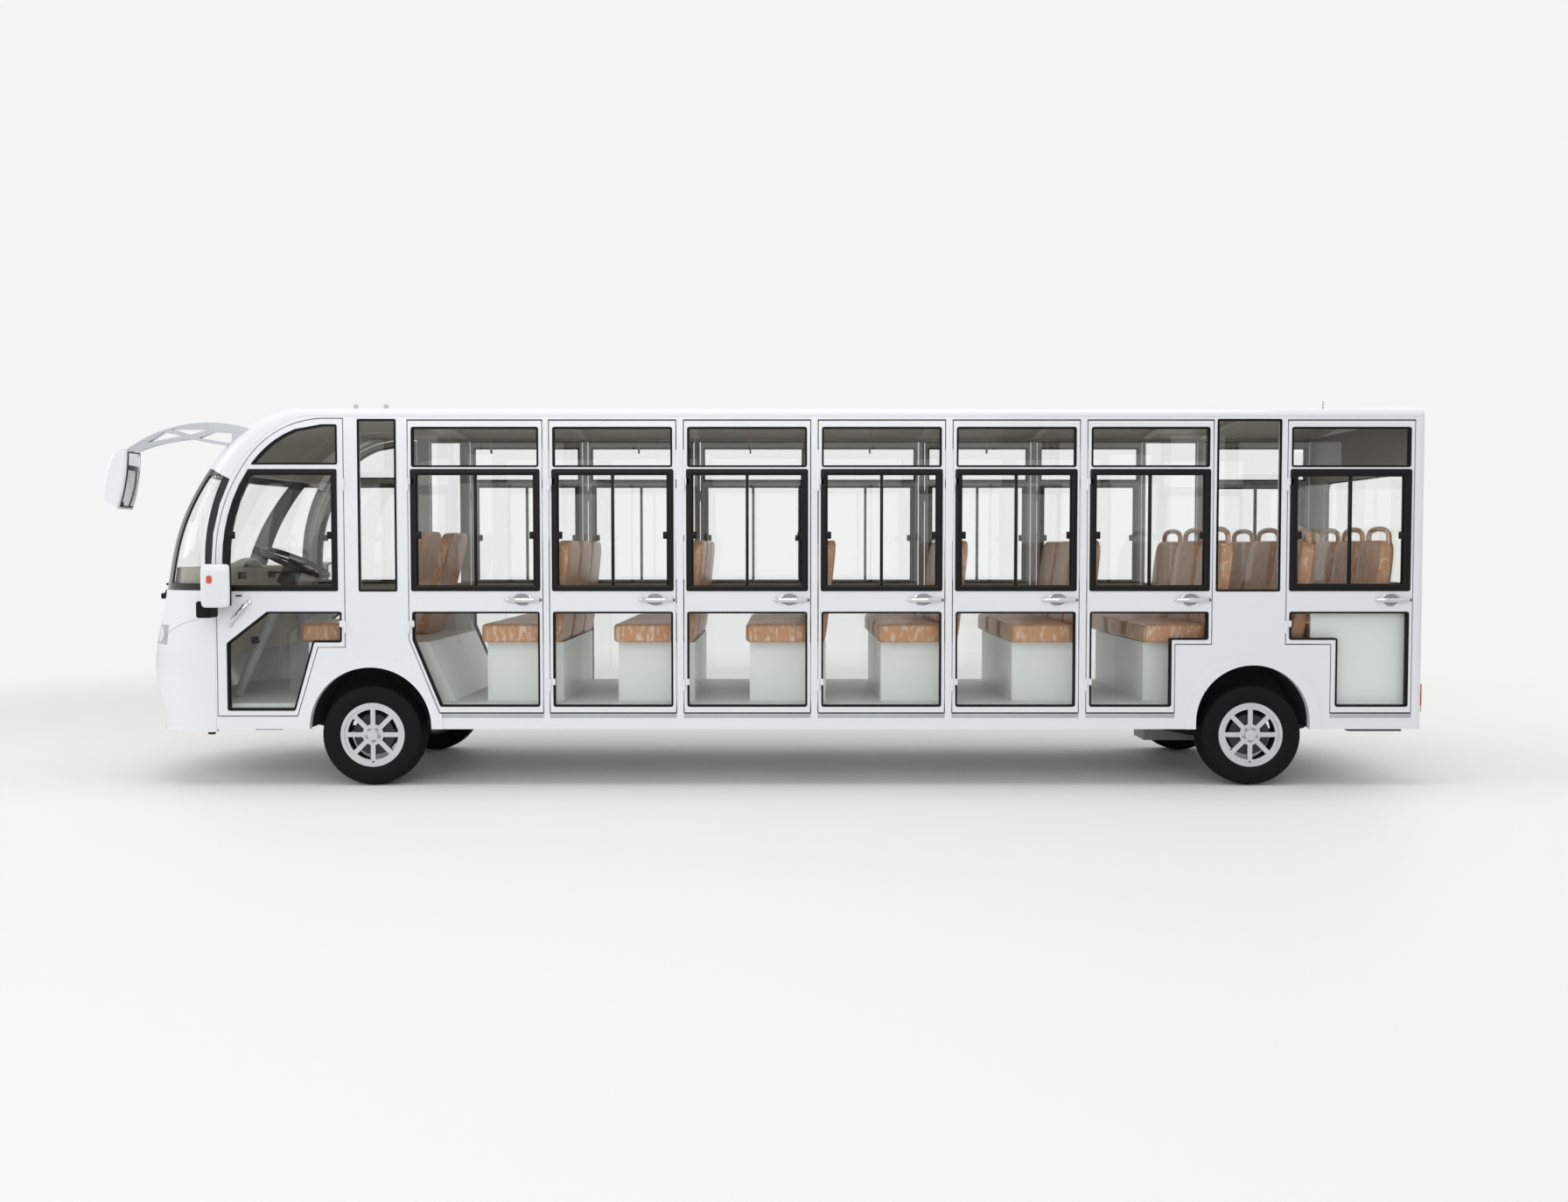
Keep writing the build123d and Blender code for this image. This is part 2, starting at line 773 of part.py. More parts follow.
# chassis: two box rails and cross members under the floor, with a lashing block at the end of each rail
rail_top = floor_top_z - floor_thick
rail_low = rail_top - rail_height
rail_in, rail_out = rail_y - rail_width / 2, rail_y + rail_width / 2
chassis = block(rail_front_x + lashing_block + fit_gap, rail_rear_x - lashing_block - fit_gap, rail_in, rail_out, rail_low, rail_top)
chassis += other_side(chassis)
outrigger_half = half_width - wall - floor_side_gap
member_places = [rail_front_x + 2 * cross_member_depth, -spring_half_length - cross_member_depth, spring_half_length + cross_member_depth]
bay = (wheelbase - 2 * spring_half_length) / 4
member_places += [spring_half_length + bay * share for share in (1, 2, 3)]
member_places += [wheelbase - spring_half_length - cross_member_depth, wheelbase + spring_half_length + cross_member_depth]
for place in member_places:
    half = rail_y + rail_width if place < -spring_half_length - cross_member_depth else outrigger_half
    chassis += block(place - cross_member_depth / 2, place + cross_member_depth / 2, -half, half, rail_top - rail_height / 2, rail_top)
save("chassis_frame", chassis)
lashing_blocks = []
for low_x in (rail_front_x, rail_rear_x - lashing_block):
    end_block = block(low_x, low_x + lashing_block, rail_in, rail_out, rail_low, rail_top)
    bore = Pos(low_x + lashing_block / 2, rail_y, rail_low + lashing_depth / 2) * Cylinder(lashing_radius, lashing_depth)
    lashing_blocks.append(end_block - bore)
save("lashing_blocks", both_sides(loose(lashing_blocks)))


# leaf springs: one bowed pack each, with its eyes hung from the rail
def spring(axle_x, seat_z):
    """Arc through both ends and the seat, given its thickness upward, and a hanger at each end."""
    half = spring_half_length
    end_z = seat_z + spring_rise
    top_z = rail_low
    lower = ThreePointArc((axle_x - half, 0, end_z), (axle_x, 0, seat_z), (axle_x + half, 0, end_z))
    upper = ThreePointArc(
        (axle_x + half, 0, end_z + spring_thick),
        (axle_x, 0, seat_z + spring_thick),
        (axle_x - half, 0, end_z + spring_thick),
    )
    ends = [
        Line((axle_x + half, 0, end_z), (axle_x + half, 0, end_z + spring_thick)),
        Line((axle_x - half, 0, end_z + spring_thick), (axle_x - half, 0, end_z)),
    ]
    pack = slab(make_face([lower, upper, *ends]), rail_y - spring_width / 2, rail_y + spring_width / 2)
    for end in (-1, 1):
        x = axle_x + end * (half - spring_hanger / 2)
        pack += block(
            x - spring_hanger / 2,
            x + spring_hanger / 2,
            rail_y - spring_width / 2,
            rail_y + spring_width / 2,
            end_z,
            top_z,
        )
    return pack


front_spring_z = rail_low - spring_rise - spring_thick - backplate_thick
rear_spring_z = tyre_radius - axle_tube_radius - spring_thick - fit_gap
beam_high = front_spring_z - fit_gap
springs = [spring(0, front_spring_z), spring(wheelbase, rear_spring_z)]
save("leaf_springs", both_sides(loose(springs)))

# front axle: a beam dropped between two kingpin bosses
boss_low = tyre_radius - kingpin_boss_height / 2
riser_y = kingpin_y - beam_riser_in
link_low = tyre_radius - link_height / 2
beam = block(-beam_depth / 2, beam_depth / 2, -riser_y, riser_y, beam_high - beam_height, beam_high)
for sign in (-1, 1):
    low_y, high_y = sorted((sign * riser_y, sign * (riser_y - beam_height)))
    beam += block(-beam_depth / 2, beam_depth / 2, low_y, high_y, beam_high - beam_height, link_low + link_height)
    low_y, high_y = sorted((sign * riser_y, sign * kingpin_y))
    beam += block(-kingpin_boss_radius / 2, kingpin_boss_radius / 2, low_y, high_y, link_low, link_low + link_height)
    beam += Pos(0, sign * kingpin_y, tyre_radius) * Cylinder(kingpin_boss_radius, kingpin_boss_height)
    beam -= Pos(0, sign * kingpin_y, tyre_radius) * Cylinder(kingpin_radius + fit_gap, kingpin_boss_height + cut_over)
save("front_axle", beam)

# knuckle: pin through the boss, two ears, a back plate and the wheel's spindle
spindle_out = wheel_centre_y + rim_half_width - spindle_end_gap
plate_y = kingpin_y + kingpin_boss_radius + 2 * backplate_thick
ear_low = boss_low - fit_gap - yoke_thick
ear_high = boss_low + kingpin_boss_height + fit_gap
knuckle = Pos(0, -kingpin_y, tyre_radius) * Cylinder(kingpin_radius, kingpin_boss_height + 2 * yoke_thick)
for low in (ear_low, ear_high):
    ear = Pos(0, -kingpin_y, low + yoke_thick / 2) * Cylinder(kingpin_boss_radius, yoke_thick)
    ear += block(-kingpin_boss_radius, kingpin_boss_radius, -plate_y, -kingpin_y, low, low + yoke_thick)
    knuckle += ear
knuckle += along_y(drum_radius + backplate_thick, -plate_y - backplate_thick, -plate_y, 0, tyre_radius)
knuckle += along_y(spindle_radius, -spindle_out, -plate_y, 0, tyre_radius)
save("knuckle_left", knuckle)
save("knuckle_right", other_side(knuckle))

# rear axle: housing with the differential, back plates and spindles
axle = along_y(axle_tube_radius, -plate_y, plate_y, wheelbase, tyre_radius)
axle += Pos(wheelbase, 0, tyre_radius) * Rot(90, 0, 0) * Cylinder(diff_radius, 2 * diff_half_width)
for sign in (-1, 1):
    inner_y, outer_y = sorted((sign * plate_y, sign * (plate_y + backplate_thick)))
    axle += along_y(drum_radius + backplate_thick, inner_y, outer_y, wheelbase, tyre_radius)
    inner_y, outer_y = sorted((sign * plate_y, sign * spindle_out))
    axle += along_y(spindle_radius, inner_y, outer_y, wheelbase, tyre_radius)
save("rear_axle", axle)
motor_rear_x = wheelbase - diff_radius - fit_gap
motor = block(motor_rear_x - motor_length, motor_rear_x, -motor_size / 2, motor_size / 2, tyre_radius - motor_size / 2, tyre_radius + motor_size / 2)
motor &= block(motor_rear_x - motor_length, motor_rear_x, -far, far, skirt_z - motor_size, rail_top - rail_height / 2 - fit_gap)
save("drive_motor", motor)


# wheels: a round-shouldered tyre on a cast rim with spokes at its outer face
def tyre():
    half = tyre_width / 2
    crown, shoulder = tyre_radius, tyre_radius - tread_round
    bead = rim_half_width - 2 * fit_gap
    flange = bead_radius + rim_lip + fit_gap
    waist = (tyre_radius + bead_radius) / 2
    section = make_face(
        [
            Line((bead_radius + fit_gap, 0, -bead), (bead_radius + fit_gap, 0, bead)),
            Line((bead_radius + fit_gap, 0, bead), (flange, 0, bead)),
            ThreePointArc((flange, 0, bead), (waist, 0, half), (shoulder, 0, half - tread_round / 2)),
            ThreePointArc(
                (shoulder, 0, half - tread_round / 2),
                (crown - tread_round / 4, 0, half - tread_round),
                (crown, 0, half - 2 * tread_round),
            ),
            Line((crown, 0, half - 2 * tread_round), (crown, 0, -half + 2 * tread_round)),
            ThreePointArc(
                (crown, 0, -half + 2 * tread_round),
                (crown - tread_round / 4, 0, -half + tread_round),
                (shoulder, 0, -half + tread_round / 2),
            ),
            ThreePointArc((shoulder, 0, -half + tread_round / 2), (waist, 0, -half), (flange, 0, -bead)),
            Line((flange, 0, -bead), (bead_radius + fit_gap, 0, -bead)),
        ]
    )
    return revolve(section, Axis.Z)


def rim():
    """Barrel, spoked disc, hub and brake drum, with the outer face at the top."""
    half = rim_half_width
    barrel = Cylinder(bead_radius, 2 * half) - Cylinder(bead_radius - rim_wall, 2 * half + cut_over)
    for end in (-1, 1):
        lip = Cylinder(bead_radius + rim_lip, rim_wall) - Cylinder(bead_radius - rim_wall, 2 * rim_wall)
        barrel += Pos(0, 0, end * (half + rim_wall / 2)) * lip
    disc_z = half - spoke_depth / 2
    disc = Pos(0, 0, disc_z) * Cylinder(bead_radius - rim_wall / 2, spoke_depth)
    for step in range(spoke_count):
        turn = 2 * math.pi * (step + 0.5) / spoke_count
        spread_in = math.pi / spoke_count - math.asin(spoke_width / 2 / spoke_window_in)
        spread_out = math.pi / spoke_count - math.asin(spoke_width / 2 / spoke_window_out)
        corners = []
        for radius, spread in ((spoke_window_in, spread_in), (spoke_window_out, spread_out)):
            corners.append([(radius * math.cos(turn + k * spread), radius * math.sin(turn + k * spread)) for k in (-1, 0, 1)])
        near, wide = corners
        window = make_face(
            [
                Line(near[0], wide[0]),
                ThreePointArc(wide[0], wide[1], wide[2]),
                Line(wide[2], near[2]),
                ThreePointArc(near[2], near[1], near[0]),
            ]
        )
        disc -= Pos(0, 0, disc_z - spoke_depth) * extrude(window, amount=2 * spoke_depth)
    wheel = barrel + disc
    wheel += Pos(0, 0, half + hub_cap_height / 2) * Cylinder(hub_radius - lug_circle / 2, hub_cap_height)
    drum_top = half - spoke_depth
    wheel += Pos(0, 0, drum_top - drum_depth / 2) * Cylinder(drum_radius, drum_depth)
    spindle_reach = drum_depth + spoke_depth - spindle_end_gap + fit_gap
    wheel -= Pos(0, 0, drum_top - drum_depth + spindle_reach / 2) * Cylinder(spindle_radius + fit_gap, spindle_reach)
    for step in range(lug_count):
        turn = 2 * math.pi * step / lug_count
        place = Pos(lug_circle * math.cos(turn) * 1.2, lug_circle * math.sin(turn) * 1.2, half)
        wheel -= place * Cylinder(lug_hole_radius, spoke_depth / 2)
    return wheel


tyre_form = tyre()
rim_form = rim()
for name, wheel_x, sign in (
    ("front_left", 0, -1),
    ("front_right", 0, 1),
    ("rear_left", wheelbase, -1),
    ("rear_right", wheelbase, 1),
):
    place = Pos(wheel_x, sign * wheel_centre_y, tyre_radius) * Rot(-sign * 90, 0, 0)
    save("tyre_" + name, place * tyre_form)
    save("rim_" + name, place * rim_form)


# seats: hollow moulded boxes, a padded cushion for each place and a leaning back behind it
def seat_box(front, depth, half, low=floor_top_z, high=seat_top_z):
    box = block(front, front + depth, -half, half, low, high)
    w = seat_box_wall
    return box - block(front + w, front + depth - w, -half + w, half - w, low - cut_over, high - w)


def cushion(front, depth, y_mid, width, low=seat_top_z):
    """Padded block with round upper edges."""
    pad = block(front - cushion_over, front + depth, y_mid - width / 2, y_mid + width / 2, low + cushion_gap, low + cushion_thick)
    return fillet(pad.faces().sort_by(Axis.Z)[-1].edges(), cushion_round)


def backrest(rear, y_mid, width, lean, low, high):
    """Slab that leans back, with its foot on the seat box and a round top."""
    foot = rear - lean
    points = [(foot - back_thick, low), (foot, low), (rear, high), (rear - back_thick, high)]
    rest = slab(outline(points), y_mid - width / 2, y_mid + width / 2)
    return fillet(rest.faces().sort_by(Axis.Z)[-1].edges(), cushion_round)


rows = [(bench_first_x + bench_pitch * k, bench_depth, 3) for k in range(bench_rows)] + rear_rows
boxes, cushions, backs = [], [], []
foot_z = seat_top_z + cushion_gap
for number, (front, depth, seats) in enumerate(rows):
    half = board_y - fit_gap if number == len(rows) - 1 else seat_box_half
    boxes.append(clear_of_liners(seat_box(front, depth, half)))
    pitch = seat_span / seats
    width = pitch - seat_box_wall
    top = loop_top_z if number >= bench_rows - 1 else back_top_z
    for place in range(seats):
        y_mid = (place - (seats - 1) / 2) * pitch
        cushions.append(cushion(front, depth - back_thick - cushion_gap, y_mid, width))
        backs.append(backrest(front + depth + back_lean_x, y_mid, width, back_lean_x, foot_z, top))
save("seat_boxes", loose(boxes))

# driver's row: two car seats on a hollow base over the front wheels
base_points = [
    (driver_base_front_x, floor_top_z),
    (driver_base_foot_x, floor_top_z),
    (driver_base_rear_x, seat_top_z),
    (driver_base_front_x, seat_top_z),
]
w = seat_box_wall
base_hollow = [
    (driver_base_front_x + w, floor_top_z - w),
    (driver_base_foot_x - w, floor_top_z - w),
    (driver_base_rear_x - w, seat_top_z - w),
    (driver_base_front_x + w, seat_top_z - w),
]
base = slab(outline(base_points), -seat_box_half, seat_box_half)
base -= slab(outline(base_hollow), -seat_box_half + w, seat_box_half - w)
save("driver_seat_base", clear_of_liners(base))
driver_back_rear = driver_base_rear_x - w
driver_foot_x = driver_back_rear - driver_back_lean_x - back_thick
for seat_y in (-driver_seat_y, driver_seat_y):
    seat_front = driver_seat_front_x + cushion_over
    cushions.append(cushion(seat_front, driver_foot_x - cushion_gap - seat_front, seat_y, driver_seat_width))
    backs.append(
        backrest(driver_back_rear, seat_y, driver_seat_width, driver_back_lean_x, foot_z, driver_back_top_z)
    )
save("seat_cushions", loose(cushions))
save("seat_backs", loose(backs))

# boards beside the last row, and the battery inside its box
board = block(board_front_x, board_rear_x, board_y, board_y + board_thick, floor_top_z, board_top_z)
save("side_boards", both_sides(board))
battery_x = rear_rows[-1][0] + seat_box_wall + fit_gap
battery = block(
    battery_x,
    battery_x + battery_length,
    -battery_width / 2,
    battery_width / 2,
    floor_top_z + fit_gap,
    floor_top_z + battery_height,
)
save("battery_pack", battery)

# dashboard: a moulded block fitted to the inside of the nose, undercut for the knees
dash_points = [
    (front_far_x, dash_top_z),
    (dash_rear_x, dash_top_z),
    (dash_rear_x, dash_brow_z),
    (dash_knee_x, dash_knee_z),
    (dash_knee_x, dash_bottom_z),
    (front_far_x, dash_bottom_z),
]
dash = slab(outline(dash_points), -dash_half, dash_half)
brow = [e for e in dash.edges() if abs(e.center().X - dash_rear_x) < dash_round and abs(e.center().Y) < dash_round]
dash = fillet(brow, dash_round) & inside_form
save("dashboard", dash)

# steering column down to the floor, and the wheel on it
steer_frame = Pos(steer_x, steer_y, steer_z) * Rot(0, steer_tilt_deg, 0)
tilt = math.radians(steer_tilt_deg)
column_top = -steer_hub_depth / 2 - fit_gap
column_end = -(steer_z - floor_top_z) / math.cos(tilt) + column_radius * math.tan(tilt) + fit_gap
column = Pos(0, 0, (column_top + column_end) / 2) * Cylinder(column_radius, column_top - column_end)
column += Pos(0, 0, column_top - shroud_length / 2) * Cylinder(shroud_radius, shroud_length)
save("steering_column", steer_frame * column)
steering_wheel = Torus(steer_radius, steer_rim_radius)
steering_wheel += Cylinder(steer_hub_radius, steer_hub_depth)
for turn in (90, 210, 330):
    spoke = Pos(steer_radius / 2, 0, 0) * Box(steer_radius, steer_spoke_width, steer_spoke_depth)
    steering_wheel += Rot(0, 0, turn) * spoke
save("steering_wheel", steer_frame * steering_wheel)

# wing mirror on the front door, clear of the pillar
wing = block(
    wing_x - wing_length / 2,
    wing_x + wing_length / 2,
    -half_width - wing_out - wing_width,
    -half_width - wing_out,
    wing_low_z,
    wing_high_z,
)
wing = fillet(wing.edges(), wing_round)
wing += block(
    driver_front_x + fit_gap,
    driver_front_x + wing_foot_length,
    -half_width - wing_out - wing_round,
    -half_width,
    wing_low_z + wing_foot_height / 2,
    wing_low_z + wing_foot_height * 3 / 2,
)
save("wing_mirror_left", wing)
save("wing_mirror_right", other_side(wing))

# roof mirror: a lattice arm bowed forward from the roof, with the head hanging from its tip
arm_edges = [
    ThreePointArc(*[(x, 0, z) for x, z in arm_upper]),
    Line((*arm_upper[2][:1], 0, arm_upper[2][1]), (arm_lower[0][0], 0, arm_lower[0][1])),
    ThreePointArc(*[(x, 0, z) for x, z in arm_lower]),
    Line((arm_lower[2][0], 0, arm_lower[2][1]), (arm_root[0], 0, arm_root[1])),
    Line((arm_root[0], 0, arm_root[1]), (arm_upper[0][0], 0, arm_upper[0][1])),
]
arm = slab(make_face(arm_edges), roof_mirror_y - arm_width / 2, roof_mirror_y + arm_width / 2)
for window in arm_windows:
    arm -= slab(outline(window), roof_mirror_y - arm_width, roof_mirror_y + arm_width)
head_edges = [
    ThreePointArc(*[(x, 0, z) for x, z in head_front]),
    Line((head_front[2][0], 0, head_front[2][1]), (head_rear[0][0], 0, head_rear[0][1])),
    ThreePointArc(*[(x, 0, z) for x, z in head_rear]),
    Line((head_rear[2][0], 0, head_rear[2][1]), (head_front[0][0], 0, head_front[0][1])),
]
head = slab(make_face(head_edges), roof_mirror_y - head_width / 2, roof_mirror_y + head_width / 2)
head = fillet([e for e in head.edges() if abs(e.center().Y - roof_mirror_y) > head_width / 2 - 1], head_round)
save("roof_mirrors", both_sides((arm - outer_form) + head))
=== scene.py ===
import bmesh
import bpy
import numpy as np
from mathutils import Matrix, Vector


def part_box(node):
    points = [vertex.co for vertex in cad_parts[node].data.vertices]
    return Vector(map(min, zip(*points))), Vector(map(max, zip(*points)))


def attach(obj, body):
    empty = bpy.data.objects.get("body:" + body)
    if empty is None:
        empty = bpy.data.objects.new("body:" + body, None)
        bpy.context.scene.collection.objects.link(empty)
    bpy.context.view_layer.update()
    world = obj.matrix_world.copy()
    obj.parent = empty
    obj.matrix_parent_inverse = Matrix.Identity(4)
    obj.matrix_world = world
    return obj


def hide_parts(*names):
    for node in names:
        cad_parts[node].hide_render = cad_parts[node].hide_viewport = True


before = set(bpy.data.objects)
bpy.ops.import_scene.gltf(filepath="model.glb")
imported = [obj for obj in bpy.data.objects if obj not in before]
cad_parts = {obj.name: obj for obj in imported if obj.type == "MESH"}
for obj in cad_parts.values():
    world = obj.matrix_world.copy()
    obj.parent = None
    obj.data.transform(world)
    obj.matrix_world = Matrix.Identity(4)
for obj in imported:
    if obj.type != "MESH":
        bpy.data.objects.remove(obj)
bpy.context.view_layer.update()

# Studio
# A pale floor that fades into an even white surround, big soft lamps over and beside the bus, and a
# camera square to the left side, at eye height and a little tipped down.


def linear(hex_colour):
    """sRGB hex colour as linear RGBA; over 0.04045 a channel is ((c + 0.055) / 1.055) to the power 2.4."""
    srgb = np.array([int(hex_colour[k : k + 2], 16) for k in (1, 3, 5)]) / 255
    return (*np.where(srgb <= 0.04045, srgb / 12.92, ((srgb + 0.055) / 1.055) ** 2.4), 1.0)


def add(tree, kind, settings=None, **links):
    """Adds one shader node; settings are inputs or properties by name, links are sockets by input name."""
    made = tree.nodes.new("ShaderNode" + kind)
    for key, value in (settings or {}).items():
        if isinstance(key, int) or key in made.inputs:
            made.inputs[key].default_value = value
        else:
            setattr(made, key, value)
    for key, socket in links.items():
        slot = int(key[1:]) if key[0] == "i" and key[1:].isdigit() else key.replace("_", " ")
        tree.links.new(socket, made.inputs[slot])
    return made


def new_tree(name):
    """A material with an empty node tree, and its output node."""
    material = bpy.data.materials.new(name)
    material.use_nodes = True
    tree = material.node_tree
    tree.nodes.clear()
    return material, tree, tree.nodes.new("ShaderNodeOutputMaterial")


surround = linear("#f4f5f4")
lamp_light = linear("#fbfbfa")
floor_grey = linear("#fafaf9")
floor_reach, floor_drop = 40.0, 0.0005
fade_from, fade_to = 4.6, 10.0

scene = bpy.context.scene
scene.view_settings.view_transform = "Standard"
world = bpy.data.worlds.new("studio")
scene.world = world
world.use_nodes = True
sky = world.node_tree
sky.nodes.clear()
path = add(sky, "LightPath")
largest = {"operation": "MAXIMUM"}
seen = add(sky, "Math", largest, i0=path.outputs["Is Camera Ray"], i1=path.outputs["Is Glossy Ray"])
seen = add(sky, "Math", largest, i0=seen.outputs[0], i1=path.outputs["Is Transmission Ray"])
soft = add(sky, "Background", {"Color": lamp_light, "Strength": 0.52})
bright = add(sky, "Background", {"Color": surround, "Strength": 1.0})
sky_mix = add(sky, "MixShader", None, i0=seen.outputs[0], i1=soft.outputs[0], i2=bright.outputs[0])
add(sky, "OutputWorld", None, Surface=sky_mix.outputs[0])

# painted studio floor: matt, and far off it shows the surround itself, so no horizon is seen
floor_paint, tree, out = new_tree("painted_studio_floor")
place = add(tree, "TexCoord")
distance = add(tree, "VectorMath", {"operation": "LENGTH"}, i0=place.outputs["Object"])
fading = {"interpolation_type": "SMOOTHSTEP", "From Min": fade_from, "From Max": fade_to}
fade = add(tree, "MapRange", fading, Value=distance.outputs["Value"])
path = add(tree, "LightPath")
shown = add(tree, "Math", {"operation": "MULTIPLY"}, i0=fade.outputs[0], i1=path.outputs["Is Camera Ray"])
paint = {"Base Color": floor_grey, "Roughness": 0.6, "Specular IOR Level": 0.25}
matt = add(tree, "BsdfPrincipled", paint)
glow = add(tree, "Emission", {"Color": surround, "Strength": 1.0})
mixed = add(tree, "MixShader", None, i0=shown.outputs[0], i1=matt.outputs[0], i2=glow.outputs[0])
tree.links.new(mixed.outputs[0], out.inputs["Surface"])

turns = np.linspace(0, 2 * np.pi, 96, endpoint=False)
level = 0 * turns - floor_drop
floor_ring = np.stack([floor_reach * np.cos(turns), floor_reach * np.sin(turns), level], -1)
floor_mesh = bpy.data.meshes.new("studio_floor")
floor_mesh.from_pydata(floor_ring.tolist(), [], [list(range(len(turns)))])
floor_mesh.materials.append(floor_paint)
studio_floor = bpy.data.objects.new("studio_floor", floor_mesh)
scene.collection.objects.link(studio_floor)

# lamp: place, where it points, width and height, power
lamps = {
    "over": ((0.0, -1.0, 7.5), (0.0, 0.0, 0.5), (9.0, 4.0), 240.0),
    "near_side": ((-1.5, -9.0, 4.5), (0.0, 0.0, 1.0), (9.0, 4.0), 200.0),
    "front": ((-9.0, -2.0, 3.5), (-3.0, 0.0, 1.0), (4.0, 4.0), 105.0),
    "back": ((8.0, 4.0, 4.5), (2.0, 0.0, 1.0), (5.0, 4.0), 105.0),
}
for name, (spot, aim, size, power) in lamps.items():
    light = bpy.data.lights.new(name, "AREA")
    light.shape = "RECTANGLE"
    light.size, light.size_y = size
    light.energy = power
    light.color = lamp_light[:3]
    lamp = bpy.data.objects.new(name, light)
    lamp.location = spot
    toward = np.array(aim) - np.array(spot)
    tip = np.arctan2(np.hypot(toward[0], toward[1]), -toward[2])
    lamp.rotation_euler = (tip, 0, np.arctan2(toward[1], toward[0]) - np.pi / 2)
    scene.collection.objects.link(lamp)

camera_spot = (0.0895, -8.07, 1.296)
camera_tip = np.radians(2.14)
camera_lens, camera_sensor = 30.64, 36.0
camera_data = bpy.data.cameras.new("camera")
camera_data.lens = camera_lens
camera_data.sensor_width = camera_sensor
camera = bpy.data.objects.new("camera", camera_data)
camera.location = camera_spot
camera.rotation_euler = (np.pi / 2 - camera_tip, 0, 0)
scene.collection.objects.link(camera)
scene.camera = camera

# Chassis
# Welded box-section steel frame, axles, leaf springs, motor and battery. Black chassis paint, sprayed and a
# little dusty; the springs are bare scale steel, the motor case is cast aluminium.

millimetre = 0.001
axle_low, axle_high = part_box("front_axle")
axle_x = (axle_low[0] + axle_high[0]) / 2


def blotched(name, base, other, size_mm, shader, bump_mm, grain_mm, rough):
    """A finish whose colour and roughness wander between limits over size_mm, with a fine grain as bump.

    shader holds what is the same all over, such as metallic or coat.
    """
    material, tree, out = new_tree(name)
    where = add(tree, "TexCoord").outputs["Object"]
    cloud = add(tree, "TexNoise", {"Scale": 1 / (size_mm * millimetre), "Detail": 4.0}, Vector=where)
    limits = {"Color1": linear(base), "Color2": linear(other)}
    colour = add(tree, "MixRGB", limits, Fac=cloud.outputs["Fac"])
    gloss = add(tree, "MapRange", {"To Min": rough[0], "To Max": rough[1]}, Value=cloud.outputs["Fac"])
    surface = add(tree, "BsdfPrincipled", shader, Base_Color=colour.outputs[0], Roughness=gloss.outputs[0])
    if bump_mm:
        fine = add(tree, "TexNoise", {"Scale": 1 / (grain_mm * millimetre), "Detail": 3.0}, Vector=where)
        depth = {"Distance": bump_mm * millimetre, "Strength": 0.6}
        relief = add(tree, "Bump", depth, Height=fine.outputs["Fac"])
        tree.links.new(relief.outputs[0], surface.inputs["Normal"])
    tree.links.new(surface.outputs[0], out.inputs["Surface"])
    return material


def dress(material, *nodes):
    """Gives CAD nodes a finish."""
    for name in nodes:
        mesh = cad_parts[name].data
        mesh.materials.clear()
        mesh.materials.append(material)


# sprayed chassis enamel: thick, half gloss, hides the welds
chassis_enamel = blotched("sprayed_chassis_enamel", "#1b1c1d", "#2a2b2c", 90, {}, 0.4, 6, (0.38, 0.6))
# rolled spring steel: dark scale with a dull metal sheen
dull_metal = {"Metallic": 0.6}
spring_steel = blotched("rolled_spring_steel", "#2b2a29", "#3d3a37", 40, dull_metal, 0.3, 3, (0.5, 0.7))
# sand-cast aluminium: pale grey with a coarse skin
cast_metal = {"Metallic": 0.9}
cast_aluminium = blotched("sand_cast_aluminium", "#8d9093", "#a3a6a8", 60, cast_metal, 0.5, 4, (0.45, 0.62))
# moulded polypropylene case: dull black with a fine spark grain
battery_case = blotched("moulded_polypropylene_case", "#202224", "#292b2d", 120, {}, 0.3, 2, (0.55, 0.7))
dress(chassis_enamel, "chassis_frame", "lashing_blocks", "front_axle", "rear_axle")
dress(chassis_enamel, "knuckle_left", "knuckle_right")
dress(spring_steel, "leaf_springs")
dress(cast_aluminium, "drive_motor")
dress(battery_case, "battery_pack")

# Wheels
# Steel-belted radial tyres on painted pressed wheels with eight windows, held by nuts round a plain hub cap.
# The tread has three grooves round it and cross cuts, and the side wall bulges over the rim's flange.

wheel_places = {"front": axle_x, "rear": sum(corner[0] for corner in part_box("rear_axle")) / 2}
tyre_low, tyre_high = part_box("tyre_front_left")
tyre_middle_y = -(tyre_low[1] + tyre_high[1]) / 2
tyre_middle_z = (tyre_low[2] + tyre_high[2]) / 2


def grid_faces(rows, columns, close_rows=False, close_columns=False):
    """Quads of a grid of points; a closed direction joins its last line to its first."""
    row = np.arange(rows if close_rows else rows - 1)[:, None]
    column = np.arange(columns if close_columns else columns - 1)[None, :]
    next_row, next_column = (row + 1) % rows, (column + 1) % columns
    corners = [row * columns + column, row * columns + next_column]
    corners += [next_row * columns + next_column, next_row * columns + column]
    return np.stack(corners, -1).reshape(-1, 4).tolist()


def tube_faces(rings, steps):
    """Quads between rings of points, and one face over each end."""
    last = (rings - 1) * steps
    return grid_faces(rings, steps, False, True) + [list(range(steps)), list(range(last, last + steps))]


def gather(parts):
    """Joins (points, faces) parts into one."""
    points, faces, count = [], [], 0
    for part_points, part_faces in parts:
        part_points = np.asarray(part_points, float).reshape(-1, 3)
        points.append(part_points)
        faces += [[corner + count for corner in face] for face in part_faces]
        count += len(part_points)
    return np.concatenate(points), faces


